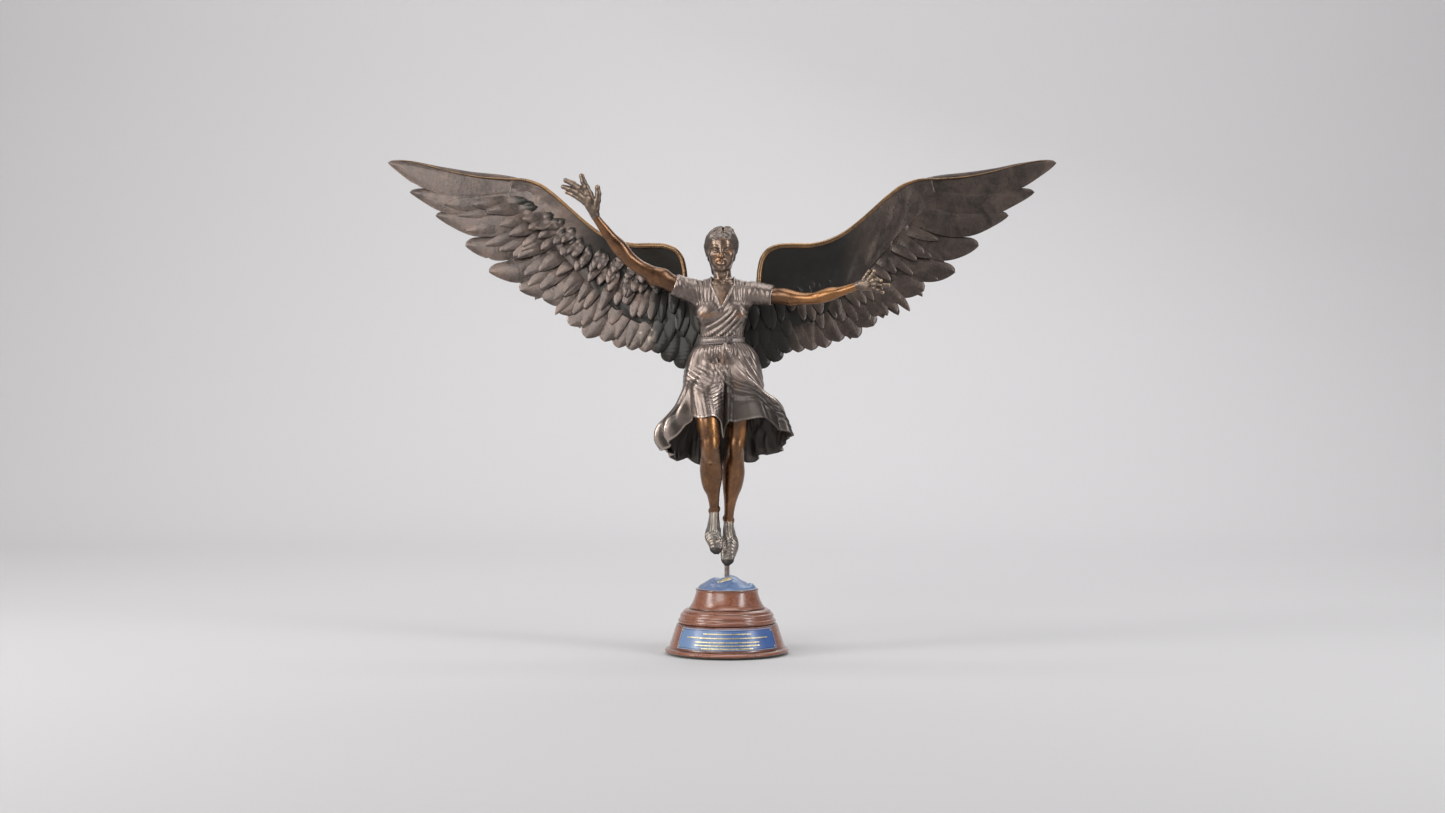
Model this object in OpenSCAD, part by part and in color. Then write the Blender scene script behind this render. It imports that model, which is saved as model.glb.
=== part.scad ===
// Winged figure trophy: cast bronze figure and wings on a turned wooden base.
// Millimetres. Origin at the middle of the base's underside, +Z up.
// The figure faces -Y, so its own right side is at -X and its left side at +X.

/* [Base] */
// Diameter of the base at its foot
base_d = 99; // [96:1:104]
// Thickness of the felt pad
felt_t = 1.5; // [1:0.5:2.5]
// Thickness of the name plate
plate_t = 1.0; // [0.8:0.2:1.2]
// Angle that the name plate wraps round the base
plate_wrap = 116; // [100:2:124]

/* [Fastening] */
// Diameter of the steel rod that carries the figure
rod_d = 4; // [3.6:0.1:4.2]
// Diameter of the dowels between the castings
dowel_d = 3; // [2.4:0.2:3.2]
// Running clearance between a dowel and its hole, on the radius
dowel_gap = 0.05; // [0.03:0.01:0.1]

/* [Figure] */
// Sideways place of the figure's middle, whose left toe stands on the rod
figure_x = -4; // [-6:1:-2]
// Wall of the skirt casting
skirt_wall = 2.5; // [2:0.5:3]
// Flat thickness of the wing feathers
feather_t = 2.4; // [2:0.2:3]

/* [Hidden] */
$fn = 96;

// Heights of the base's turned pieces
plinth_top = 24.5;
ring_top = 36;
neck_top = 52;
cap_top = 62.7;
// Recess under the plinth that holds the ballast, washer and nut
recess_r = 32;
recess_top = 18;
ballast_t = 10;
// M4 fasteners
nut_af = 7;
nut_t = 3.2;
washer_r = 4.5;
washer_t = 0.8;
rod_bottom = 3;
rod_top = 82;
rod_hole_r = rod_d / 2 + 0.2;
// The plinth's side, where the name plate lies, is a cone between these two rings
side_low = [base_d / 2 - 3.5, 6.4];
side_high = [base_d / 2 - 9.5, 23.9];
plate_low = 0.03;
plate_high = 0.97;
dowel_hole_r = dowel_d / 2 + dowel_gap;
limb_fn = 20;
ball_fn = 14;

// Colours
wood = "#8a4526";
blue = "#3c5f9c";
gold = "#c9a24a";
skin = "#a2622a";
cloth = "#7b716c";
dark = "#4a4340";
steel = "#b9bcc0";

// ---- Planes and axes where the castings meet ----
ankle_left = [1.2, 9, 105];
ankle_right = [-10.2, 2, 113];
hip_z = 222;
hip_left = [9, 0, hip_z];
hip_right = [-17, -3, hip_z];
waist_z = 246.5;
belt_top = 253;
neck_z = 300;
neck_at = [figure_x + 0.5, -1, neck_z];
armhole_right = figure_x - 21;
armhole_left = figure_x + 21;
shoulder_right = [armhole_right, -3, 289.5];
shoulder_left = [armhole_left, -3, 289.5];
wrist_right = [-104.5, -30, 348];
wrist_left = [103, -27, 292.5];
back_y = 8;
saddle_t = 7;
tab_t = 3.5;
tab_z = [266, 298];
rib_half = 3;
clamp_t = 1.8;
screw_z = [275, 289];
screw_r = 1.5;

// ---- General shapes ----

function unit(v) = v / norm(v);

// A ring of n points round c, square to t, with half-widths a (sideways) and b (fore and aft)
function ring(c, t, a, b, n = limb_fn) =
    let (u = unit(cross(t, [0, 1, 0])), v = cross(u, unit(t)))
    [for (i = [0:n - 1]) c + a * cos(360 * i / n) * u + b * sin(360 * i / n) * v];

// Direction of a chain of stations at station i, or a given one at either end
function way(s, i, first, last) =
    i == 0 && !is_undef(first) ? first
    : i == len(s) - 1 && !is_undef(last) ? last
    : let (a = s[max(i - 1, 0)], b = s[min(i + 1, len(s) - 1)])
      unit([b[0] - a[0], b[1] - a[1], b[2] - a[2]]);

// Closed solid through a list of rings that all have the same number of points
module skin(rings) {
    n = len(rings[0]);
    last = (len(rings) - 1) * n;
    sides = [for (j = [0:len(rings) - 2]) for (i = [0:n - 1])
        let (a = j * n + i, b = j * n + (i + 1) % n)
        each [[a, b, a + n], [b, b + n, a + n]]];
    ends = [[for (i = [n - 1:-1:0]) i], [for (i = [0:n - 1]) last + i]];
    polyhedron(points = [for (r = rings) each r], faces = concat(sides, ends));
}

// Limb through stations [x, y, z, half-width, half-depth]; first and last turn its end faces
module limb(s, first, last, n = limb_fn) {
    skin([for (i = [0:len(s) - 1])
        ring([s[i][0], s[i][1], s[i][2]], way(s, i, first, last), s[i][3], s[i][4], n)]);
}

// Ball at [x, y, z] of radius r
module ball(p, r) {
    translate([p[0], p[1], p[2]]) sphere(r = r, $fn = ball_fn);
}

// Round-ended finger through stations [x, y, z, r]
module finger(s) {
    n = len(s) - 1;
    tip = [s[n][0], s[n][1], s[n][2]];
    ahead = unit(tip - [s[n - 1][0], s[n - 1][1], s[n - 1][2]]);
    end = tip + ahead * s[n][3] * 0.8;
    limb(concat([for (p = s) [p[0], p[1], p[2], p[3], p[3]]],
        [[end[0], end[1], end[2], s[n][3] * 0.5, s[n][3] * 0.5]]), n = 8);
}

// Cylinder of radius r, centred at p, lying along t
module bar(p, t, r, h) {
    yaw = atan2(t[1], t[0]);
    pitch = acos(unit(t)[2]);
    translate(p) rotate([0, pitch, yaw]) cylinder(r = r, h = h, center = true, $fn = 32);
}

module hex_nut(z) {
    translate([0, 0, z]) difference() {
        cylinder(d = nut_af / cos(30), h = nut_t, $fn = 6);
        translate([0, 0, -1]) cylinder(r = rod_d / 2 + 0.05, h = nut_t + 2);
    }
}

module washer(z) {
    translate([0, 0, z]) difference() {
        cylinder(r = washer_r, h = washer_t);
        translate([0, 0, -1]) cylinder(r = rod_hole_r, h = washer_t + 2);
    }
}

// ---- Base ----

module felt_pad() {
    color("#20242c") cylinder(r = base_d / 2 - 3, h = felt_t);
}

module base_plinth() {
    r = base_d / 2;
    color(wood) difference() {
        rotate_extrude() polygon([[0, felt_t], [r - 1.2, felt_t], [r, felt_t + 1.2], [r, 3.6], [r - 1.6, 5.2],
            [r - 3, 5.6], side_low, side_high, [side_high[0] - 1, plinth_top], [0, plinth_top]]);
        translate([0, 0, felt_t - 1]) cylinder(r = recess_r, h = recess_top - felt_t + 1);
        cylinder(r = rod_hole_r, h = 60);
    }
}

module base_ring() {
    color(wood) difference() {
        rotate_extrude() polygon([[0, plinth_top], [38.2, plinth_top], [39, 25.4], [39, 27.2], [38, 28.2],
            [36.4, 28.6], [36.4, 30.2], [37, 31], [36.6, 32.4], [34.6, 33], [34.2, 34.2], [33.4, 35.2],
            [31.5, ring_top], [0, ring_top]]);
        translate([0, 0, plinth_top - 1]) cylinder(r = rod_hole_r, h = 20);
    }
}

module base_neck() {
    color(wood) difference() {
        rotate_extrude() polygon([[0, ring_top], [30.4, ring_top], [30.4, 37], [28.9, 38.6], [27.4, 41.2],
            [26, 44.6], [25, 48], [24.6, 50.2], [25.2, 51], [24.8, neck_top], [0, neck_top]]);
        translate([0, 0, ring_top - 1]) cylinder(r = rod_hole_r, h = 20);
    }
}

// Rounded mound with a crest; its pocket clears the upper nut
module base_cap() {
    dome_r = 34;
    color(blue) difference() {
        intersection() {
            union() {
                translate([0, 0, cap_top - dome_r - 0.6]) sphere(r = dome_r);
                translate([2, 0, cap_top - 12]) sphere(r = 12);
                translate([13, -2, cap_top - 15]) sphere(r = 9.5);
                translate([-9, 1, cap_top - 14]) sphere(r = 10.5);
            }
            translate([0, 0, neck_top]) cylinder(r = 24, h = 20);
        }
        translate([0, 0, neck_top - 1]) cylinder(r = 5.5, h = washer_t + nut_t + 2.2);
        translate([0, 0, neck_top]) cylinder(r = rod_d / 2 + 0.05, h = 20);
    }
}

// Ring sector on the plinth's cone between shares low and high of its height, from r_in to r_out off it
module cone_band(low, high, r_in, r_out, from, to) {
    function at(share, off) = [side_low[0] + share * (side_high[0] - side_low[0]) + off,
        side_low[1] + share * (side_high[1] - side_low[1])];
    rotate([0, 0, from]) rotate_extrude(angle = to - from)
        polygon([at(low, r_in), at(low, r_out), at(high, r_out), at(high, r_in)]);
}

module name_plate() {
    color(blue) cone_band(plate_low, plate_high, 0, plate_t, -90 - plate_wrap / 2, -90 + plate_wrap / 2);
}

// Plain raised rules in place of an inscription: [middle of the rule up the plate, half-length in degrees]
module plate_rules() {
    rule_half = 0.025;
    rule_t = 0.3;
    for (rule = [[0.76, 26], [0.58, 46], [0.40, 34], [0.26, 34], [0.13, 26]]) {
        low = rule[0] - rule_half;
        high = rule[0] + rule_half;
        color(gold) cone_band(low, high, plate_t, plate_t + rule_t, -90 - rule[1], -90 + rule[1]);
    }
}

// Round-headed pins at the plate's corners
module plate_pins() {
    for (side = [-1, 1]) for (up = [0.15, 0.85]) {
        r = side_low[0] + up * (side_high[0] - side_low[0]) + plate_t;
        z = side_low[1] + up * (side_high[1] - side_low[1]);
        color(gold) rotate([0, 0, -90 + side * (plate_wrap / 2 - 3)]) translate([r, 0, z])
            rotate([0, 71, 0]) cylinder(r1 = 0.9, r2 = 0.6, h = 0.5, $fn = 24);
    }
}

module ballast_disc() {
    color(dark) translate([0, 0, recess_top - ballast_t]) difference() {
        cylinder(r = recess_r - 0.3, h = ballast_t);
        translate([0, 0, -1]) cylinder(r = rod_hole_r, h = ballast_t + 2);
    }
}

module support_rod() {
    color(steel) translate([0, 0, rod_bottom]) cylinder(r = rod_d / 2, h = rod_top - rod_bottom);
}

module base_washer() { color(steel) washer(recess_top - ballast_t - washer_t); }

module base_nut() { color(steel) hex_nut(recess_top - ballast_t - washer_t - nut_t); }

module cap_washer() { color(steel) washer(neck_top); }

module cap_nut() { color(steel) hex_nut(neck_top + washer_t); }

// ---- Legs and feet ----

// Pointed foot, from its toe up to the flat top at the ankle
module left_foot() {
    color(cloth) difference() {
        limb([[0, 0.2, 71.3, 2.3, 2.3], [0, 0.6, 73, 3.2, 3.2], [0.6, 1.4, 77, 5.2, 4.0],
            [2, 2.6, 83, 6.7, 5.0], [2.2, 4.4, 89, 6.4, 6.2], [1.8, 6.8, 95, 5.3, 7.4],
            [1.4, 8.6, 100, 4.4, 6.8], [1.2, 9, 105, 4.0, 5.0]], [0, 0, 1], [0, 0, 1]);
        translate([0, 0, 70]) cylinder(r = rod_d / 2, h = rod_top - 70, $fn = 48);
        bar(ankle_left, [0, 0, 1], dowel_hole_r, 16);
    }
}

module right_foot() {
    color(cloth) difference() {
        limb([[-8.2, -14, 81.7, 1.8, 1.8], [-8.4, -13.2, 83.4, 3.0, 2.8], [-9.4, -11.4, 88, 5.2, 3.8],
            [-11.3, -8.6, 93, 6.5, 4.8], [-11, -4.8, 98.5, 6.0, 6.2], [-10.6, -1, 104, 5.0, 7.0],
            [-10.3, 1.6, 109, 4.3, 6.4], [-10.2, 2, 113, 4.1, 5.0]], [0, 0, 1], [0, 0, 1]);
        bar(ankle_right, [0, 0, 1], dowel_hole_r, 14);
    }
}

module left_leg() {
    color(skin) difference() {
        limb([[1.2, 9, 105, 3.9, 4.8], [1.6, 8.6, 110, 3.9, 4.4], [2.6, 8.6, 120, 4.8, 5.4],
            [4, 9, 132, 7.4, 7.8], [5, 8.6, 145, 8.9, 9.4], [6, 6.6, 157, 7.6, 8.2], [7, 4.4, 168, 7.6, 8.2],
            [8, 3, 180, 8.8, 9.4], [9, 1.4, 198, 11.2, 11.6], [9, 0, hip_z, 12, 12.2]], [0, 0, 1], [0, 0, 1]);
        bar(ankle_left, [0, 0, 1], dowel_hole_r, 16);
        bar(hip_left, [0, 0, 1], dowel_hole_r, 20);
    }
}

module right_leg() {
    color(skin) difference() {
        limb([[-10.2, 2, 113, 4.0, 4.8], [-10.3, 1, 118, 4.0, 4.6], [-11.2, -1, 127, 5.0, 5.6],
            [-12.2, -4, 138, 7.8, 8.0], [-13, -7.4, 148, 8.8, 9.0], [-13.2, -12, 159, 7.7, 8.0],
            [-13.6, -15.6, 170, 7.8, 8.4], [-15, -15.4, 184, 9.4, 9.8], [-16.6, -10.4, 202, 11.4, 11.8],
            [-17, -3, hip_z, 12, 12.2]], [0, 0, 1], [0, 0, 1]);
        bar(ankle_right, [0, 0, 1], dowel_hole_r, 14);
        bar(hip_right, [0, 0, 1], dowel_hole_r, 20);
    }
}

// ---- Skirt, belt, torso and head ----

skirt_fn = 48;
skirt_top = waist_z;
// How far round from the front: 0 at the front, 1 at the back
function back_share(a) = (1 - cos(a)) / 2;
function side_share(a) = pow(sin(a), 2);
// The hem is high at the front, over the thighs, and hangs low behind the calves
function hem_z(a) = 187 - 37 * pow(back_share(a), 1.3) + 4 * side_share(a) + 1.5 * cos(9 * a);
// Half-widths of the skirt at share t of the way from the waist to the hem
function lerp_list(list, t) =
    let (p = t * (len(list) - 1), i = min(floor(p), len(list) - 2))
    list[i] + (p - i) * (list[i + 1] - list[i]);
half_x = [17.6, 29, 31.5, 33, 37, 46, 51.5];
half_front = [12, 17.5, 22.5, 26.5, 29, 30, 31];
half_back = [12, 18, 19, 21, 25, 31, 34];
fold_depth = 2.2;
// Point of the skirt at angle a from the front, share t of the way down, drawn in by wall w
function skirt_point(a, t, w) =
    let (fold = fold_depth * t * t * cos(12 * a),
         x = (lerp_list(half_x, t) - w + fold) * sin(a),
         depth = lerp_list(cos(a) > 0 ? half_front : half_back, t) - w + fold)
    [figure_x + x, -depth * cos(a), skirt_top - t * (skirt_top - hem_z(a))];
function skirt_ring(t, w) = [for (i = [0:skirt_fn - 1]) skirt_point(360 * i / skirt_fn, t, w)];
// The hollow starts level at the hips
hollow_shares = [1, 0.83, 0.66, 0.5];
function hollow_top_ring() = [for (i = [0:skirt_fn - 1])
    let (p = skirt_point(360 * i / skirt_fn, 0.42, skirt_wall)) [p[0], p[1], hip_z]];

// One skin: up the inside to the flat ceiling, and down the outside from the waist
module skirt() {
    outside = [for (t = [0, 0.16, 0.3, 0.42, 0.55, 0.7, 0.85, 1]) skirt_ring(t, 0)];
    inside = concat([for (t = hollow_shares) skirt_ring(t, skirt_wall)], [hollow_top_ring()]);
    color(cloth) difference() {
        skin(concat(outside, inside));
        for (hip = [hip_left, hip_right]) bar(hip, [0, 0, 1], dowel_hole_r, 20);
        bar([figure_x, -1, waist_z], [0, 0, 1], dowel_hole_r, 24);
    }
}

function ellipse_points(a, b, n) = [for (i = [0:n - 1]) [a * cos(360 * i / n), b * sin(360 * i / n)]];

module waist_belt() {
    color(cloth) translate([figure_x, -1, waist_z]) linear_extrude(height = belt_top - waist_z) difference() {
        polygon(ellipse_points(18.4, 13.2, 48));
        polygon(ellipse_points(17.2, 12.1, 48));
    }
}

// Ring of the torso: t runs from the front, and bust swells the chest on both sides
function torso_ring(y, z, a, b, bust) = [for (i = [0:torso_fn - 1])
    let (t = 360 * i / torso_fn, swell = bust * (exp(-pow((t - 34) / 20, 2)) + exp(-pow((t - 326) / 20, 2))))
    [figure_x - (a + 0.4 * swell) * sin(t), y - (b + swell) * cos(t), z]];

// Stations are [middle's y, height, half-width, half-depth, bust]
torso_fn = 36;
torso_rings = [[-1, waist_z, 17, 11.8, 0], [-1, belt_top, 17, 11.8, 0], [-1.6, 258, 18, 12.2, 0.4],
    [-2.2, 264, 19.6, 12.8, 2], [-2.8, 269, 21, 13.2, 4.4], [-3, 273, 21.8, 13.4, 5.4],
    [-3, 277, 22.4, 13.4, 4.4], [-3, 282, 23.2, 13, 2.2], [-3, 288, 24.6, 12.4, 0.6], [-2.6, 293, 25, 11, 0],
    [-2, 296.4, 22.6, 9.8, 0], [-1.4, 298.6, 15.5, 9, 0], [-1, neck_z, 8.6, 8.2, 0]];

module torso() {
    c = figure_x;
    color(cloth) difference() {
        skin([for (s = torso_rings) torso_ring(s[0], s[1], s[2], s[3], s[4])]);
        translate([armhole_left, -50, 200]) cube([100, 100, 200]);
        translate([armhole_right - 100, -50, 200]) cube([100, 100, 200]);
        translate([c - 10, back_y, 262]) cube([20, 40, 60]);
        bar(shoulder_left, [1, 0, 0], dowel_hole_r, 16);
        bar(shoulder_right, [1, 0, 0], dowel_hole_r, 16);
        bar(neck_at, [0, 0, 1], dowel_hole_r, 16);
        bar([c, -1, waist_z], [0, 0, 1], dowel_hole_r, 24);
    }
}

// Bare head and neck, without the hair
head_x = -4.6;
module head_form() {
    limb([[neck_at[0], -1, neck_z, 7.6, 7.8], [-3.5, -1.6, 303, 7.2, 7.6], [-3.8, -2.4, 307.4, 7.6, 9],
        [-4.2, -4.6, 310.4, 9, 11.4], [head_x, -5, 314, 10.4, 12.6], [head_x, -4.8, 319, 11.3, 13.6],
        [head_x, -4.4, 324, 11.6, 14.2], [head_x, -4, 329, 11, 13.6], [head_x, -3.6, 333, 8.6, 10.8],
        [head_x, -3.4, 335.6, 3.4, 4.2]], [0, 0, 1], [0, 0, 1]);
}

module head() {
    nose = [head_x, -18.6, 318.4];
    color(skin) difference() {
        union() {
            head_form();
            hull() {
                ball([nose[0], nose[1], nose[2] + 6], 1.1);
                ball([nose[0], nose[1] - 1.6, nose[2]], 1.3);
                ball([nose[0] - 1.4, nose[1] + 0.6, nose[2] - 0.4], 1.1);
                ball([nose[0] + 1.4, nose[1] + 0.6, nose[2] - 0.4], 1.1);
            }
        }
        bar(neck_at, [0, 0, 1], dowel_hole_r, 16);
    }
}

// Parted hair, in locks that sweep from the forehead over the ears to the nape, with a coil at the back
module hair() {
    locks = 5;
    color(cloth) difference() {
        union() {
            for (side = [-1, 1]) for (i = [0:locks - 1]) {
                up = i / (locks - 1);
                front = [head_x + side * (7 + 4 * (1 - up)), -13 + 2 * up, 322 + 9 * up];
                ear = [head_x + side * (12.4 - 5 * pow(up, 2)), -4, 318 + 17 * up];
                rear = [head_x + side * (7.6 - 3 * up), 7.4 - 1.4 * up, 312 + 16 * up];
                hull() {
                    ball(front, 2.6);
                    ball(ear, 3);
                }
                hull() {
                    ball(ear, 3);
                    ball(rear, 3.2);
                }
            }
            hull() {
                for (z = [308, 330]) for (side = [-1, 1]) ball([head_x + 4.4 * side, 8, z], 3.6);
            }
            hull() {
                ball([head_x, -2.4, 329], 9.2);
                ball([head_x, 1, 323], 10.8);
            }
            hull() {
                ball([head_x, 9.6, 318], 5.4);
                ball([head_x, 9, 324], 4.8);
            }
            hull() {
                ball([head_x + 1.6, -8, 334.4], 3);
                ball([head_x, 3, 333], 3.6);
            }
        }
        head_form();
    }
}

// ---- Arms and hands ----

// Each arm is one casting with its short sleeve, cut flat at the armhole and at the wrist
module right_arm() {
    s = shoulder_right;
    toward_wrist = unit([-0.62, -0.35, 0.74]);
    color(skin) difference() {
        limb([[s[0], s[1], s[2], 10.4, 10], [-33, -4, 291, 9.8, 9.6], [-40.5, -6, 294, 8.8, 8.8],
            [-42, -6.4, 294.6, 7.4, 7.2], [-54, -10, 300, 6.6, 6.6], [-66, -13.4, 306.4, 5.8, 5.9],
            [-74.5, -16, 311.6, 5.8, 5.9], [-82, -19, 319, 5.9, 5.9], [-92, -23.6, 331, 4.9, 4.8],
            [-100, -27.6, 341.6, 3.8, 3.4], [wrist_right[0], wrist_right[1], wrist_right[2], 3.6, 3]],
            [-1, 0, 0], toward_wrist);
        bar(s, [1, 0, 0], dowel_hole_r, 16);
        bar(wrist_right, toward_wrist, dowel_hole_r / 2, 10);
    }
}

module left_arm() {
    s = shoulder_left;
    toward_wrist = unit([0.94, -0.28, 0.2]);
    color(skin) difference() {
        limb([[s[0], s[1], s[2], 10.4, 10], [26, -4.4, 288, 9.6, 9.4], [34.5, -6.6, 286, 8.6, 8.8],
            [36, -7, 285.6, 6.8, 7], [48, -10.6, 283.2, 6.2, 6.6], [58, -13.8, 282, 5.6, 6],
            [67, -16.6, 282, 5.6, 6], [76, -19.2, 283.6, 5.5, 5.8], [88, -22.8, 287, 4.6, 4.8],
            [97, -25.4, 290.4, 3.7, 3.5], [wrist_left[0], wrist_left[1], wrist_left[2], 3.5, 3]],
            [1, 0, 0], toward_wrist);
        bar(s, [1, 0, 0], dowel_hole_r, 16);
        bar(wrist_left, toward_wrist, dowel_hole_r / 2, 10);
    }
}

// Hand from a palm and five fingers, cut square at the wrist; each finger is a chain of stations
module hand(wrist, along, palm, fingers) {
    color(cloth) difference() {
        union() {
            hull() {
                ball(wrist, 2.9);
                for (p = palm) ball(p, 2.3);
            }
            for (f = fingers) finger(f);
        }
        bar(wrist - along * 10, along, 12, 20);
        bar(wrist, along, dowel_hole_r / 2, 10);
    }
}

// The right hand is held up, palm forward, with the forefinger raised
module right_hand() {
    hand(wrist_right, unit([-0.62, -0.35, 0.74]),
        [[-109, -32.4, 353], [-104, -33, 353.6], [-111, -33, 360], [-106, -34, 361.5]], [
        [[-103.4, -33.4, 353, 2.3], [-101, -35.4, 362, 1.9], [-101.3, -36.8, 368.6, 1.5]],
        [[-108, -34.2, 363, 2.3], [-112, -35.2, 372.4, 1.9], [-113.8, -34.6, 377.8, 1.5]],
        [[-110.4, -33.8, 363, 2.2], [-118.6, -33.8, 370.6, 1.9], [-126.4, -32, 374.6, 1.5]],
        [[-111.4, -33.2, 360.4, 2.1], [-120.6, -32.2, 367, 1.8], [-128.6, -30, 369.8, 1.4]],
        [[-111.2, -32.4, 357.4, 2], [-119.2, -30.6, 362.8, 1.6], [-125.8, -28.4, 365.8, 1.2]]]);
}

// The left hand reaches out, with its fingers spread
module left_hand() {
    hand(wrist_left, unit([0.94, -0.28, 0.2]),
        [[106.8, -28.4, 295], [107.6, -29.2, 291], [110.6, -30.4, 294.4], [111.2, -30.7, 291.6]], [
        [[106.2, -28.6, 294.6, 2.1], [109, -30.8, 299.8, 1.7], [111.2, -32.2, 303, 1.3]],
        [[110.2, -30.6, 295.6, 2], [113.4, -32.6, 300, 1.6], [115, -34, 303, 1.3]],
        [[111.6, -30.8, 294.6, 2], [116.6, -33, 296.8, 1.7], [120.4, -34.4, 295.6, 1.3]],
        [[112.2, -30.9, 292.9, 2], [119.4, -33.4, 293, 1.6], [126.6, -34.6, 292.2, 1.3]],
        [[112, -30.8, 291, 1.9], [117.4, -32.5, 289.2, 1.5], [122, -33.4, 286.6, 1.1]]]);
}

// ---- Wings ----
// Points on a wing are [distance out from the figure's middle, height]

// A wing sweeps back as it goes out
function wing_y(out) = 15 + 0.16 * (out - 20) - 0.00022 * pow(out - 20, 2);

// Leading edge from the root, up over the wrist, to where the longest feather carries it on
edge = [[31, 299], [32.5, 310], [37, 319], [44, 322.6], [56, 323.8], [72, 324.6], [86, 328.4], [98, 334],
    [111, 343.4], [124, 354.8], [137, 366.6], [150, 375.6], [162, 379], [178, 379.6]];
edge_r = 4;

// Feathers, outermost first: [root on the edge, bend, tip, half-width at the bend]
feathers = [
    [[160, 376], [214, 381], [274, 397.6], 10],
    [[150, 370], [205, 366], [256, 372.4], 10],
    [[142, 362], [190, 352], [234, 353], 10],
    [[132, 352], [172, 333], [209.6, 328], 10],
    [[122, 344], [156, 316], [190.4, 306], 10],
    [[112, 336], [138, 304], [164.8, 291], 9],
    [[104, 332], [124, 298], [145, 283], 9],
    [[96, 328], [114, 290], [131.4, 272], 8.5],
    [[88, 324], [104, 284], [123, 262], 8.5],
    [[80, 322], [94, 278], [110, 252.4], 8.5],
    [[73, 320], [84, 274], [95, 249.4], 8],
    [[66, 320], [75, 270], [83.6, 244], 8],
    [[59, 320], [66, 268], [72.6, 242], 8],
    [[52, 320], [57, 264], [61, 240.4], 8],
    [[45, 318], [48, 262], [51, 239.6], 8],
    [[38, 308], [39.6, 256], [39.6, 229.6], 8],
    [[35, 302], [32, 262], [30.6, 228], 7.5]];

module disc(p, r, t) {
    translate([p[0], wing_y(p[0]), p[1]]) rotate([90, 0, 0]) cylinder(r = r, h = t, center = true, $fn = 12);
}

module feather(f) {
    tip_r = 2;
    back = unit(f[1] - f[2]);
    hull() {
        disc(f[0], 6, feather_t + 1);
        disc(f[1], f[3], feather_t);
    }
    hull() {
        disc(f[1], f[3], feather_t);
        disc(f[2] + back * 14, f[3] * 0.62, feather_t);
        disc(f[2] + back * tip_r, tip_r, feather_t - 0.6);
    }
}

// The root tab lies in the saddle, beside its rib, under the clamp plate
module wing() {
    color(dark) union() {
        for (i = [0:len(edge) - 2]) hull() {
            for (p = [edge[i], edge[i + 1]]) ball([p[0], wing_y(p[0]) - 1, p[1]], edge_r);
        }
        for (f = feathers) feather(f);
        hull() {
            translate([rib_half, back_y + saddle_t, tab_z[0]])
                cube([13 - rib_half, tab_t, tab_z[1] - tab_z[0]]);
            translate([30, wing_y(30) - 1, 270]) cube([3, tab_t - 1, 32]);
        }
    }
}

module left_wing() { translate([figure_x, 0, 0]) wing(); }

module right_wing() { translate([figure_x, 0, 0]) mirror([1, 0, 0]) wing(); }

module wing_screw_places() {
    for (z = screw_z) translate([figure_x, back_y, z]) rotate([-90, 0, 0]) children();
}

// Boss between the shoulder blades; its rib keeps the wings' tabs apart and is tapped for the screws
module wing_saddle() {
    color(cloth) difference() {
        translate([figure_x, back_y, 0]) {
            translate([-9.6, 0, 264]) cube([19.2, saddle_t, 36]);
            translate([-rib_half, saddle_t - 1, 264]) cube([2 * rib_half, tab_t + 1, 36]);
        }
        wing_screw_places() translate([0, 0, saddle_t + tab_t - 8]) cylinder(r = screw_r, h = 10, $fn = 32);
    }
}

// Plate over both root tabs
module wing_clamp() {
    color(cloth) difference() {
        translate([figure_x - 9, back_y + saddle_t + tab_t, tab_z[0] + 1]) cube([18, clamp_t, 28]);
        wing_screw_places() translate([0, 0, saddle_t]) cylinder(r = screw_r + 0.2, h = 20, $fn = 32);
    }
}

// M3 screws with round heads, through the clamp plate into the saddle's rib
module wing_screws() {
    top = saddle_t + tab_t + clamp_t;
    color(steel) wing_screw_places() {
        translate([0, 0, top - 8]) cylinder(r = screw_r - 0.02, h = 8, $fn = 32);
        translate([0, 0, top]) cylinder(r1 = 2.8, r2 = 1.8, h = 1.8, $fn = 32);
    }
}

// ---- Dowels between the castings ----

module dowel(p, t, h, r = dowel_d / 2) {
    color(steel) bar(p, t, r, h);
}

module neck_dowel() { dowel(neck_at, [0, 0, 1], 15); }

module shoulder_dowels() {
    dowel(shoulder_right, [1, 0, 0], 15);
    dowel(shoulder_left, [1, 0, 0], 15);
}

module wrist_dowels() {
    dowel(wrist_right, unit([-0.62, -0.35, 0.74]), 9, dowel_d / 4);
    dowel(wrist_left, unit([0.94, -0.28, 0.2]), 9, dowel_d / 4);
}

module hip_dowels() {
    dowel(hip_left, [0, 0, 1], 19);
    dowel(hip_right, [0, 0, 1], 19);
}

module ankle_dowels() {
    dowel(ankle_left, [0, 0, 1], 15);
    dowel(ankle_right, [0, 0, 1], 13);
}

module waist_stud() { dowel([figure_x, -1, waist_z], [0, 0, 1], 23); }

felt_pad();
base_plinth();
base_ring();
base_neck();
base_cap();
name_plate();
plate_rules();
plate_pins();
ballast_disc();
support_rod();
base_nut();
base_washer();
cap_nut();
cap_washer();
left_foot();
right_foot();
left_leg();
right_leg();
skirt();
waist_belt();
torso();
head();
hair();
right_arm();
left_arm();
right_hand();
left_hand();
left_wing();
right_wing();
wing_saddle();
wing_clamp();
wing_screws();
neck_dowel();
shoulder_dowels();
wrist_dowels();
hip_dowels();
ankle_dowels();
waist_stud();
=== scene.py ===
"""Looks of the figure trophy: a cast bronze winged figure over a turned wooden base.

Shapes are worked out in millimetres in the row frame (+X the figure's left, -Y its front, +Z up)
and turned into metres when a mesh is made. Organic castings are modelled as signed distances on a
grid ("clay"), then meshed; feathers, skirt and turned wood are meshed from their own surfaces.
"""
import math

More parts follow.
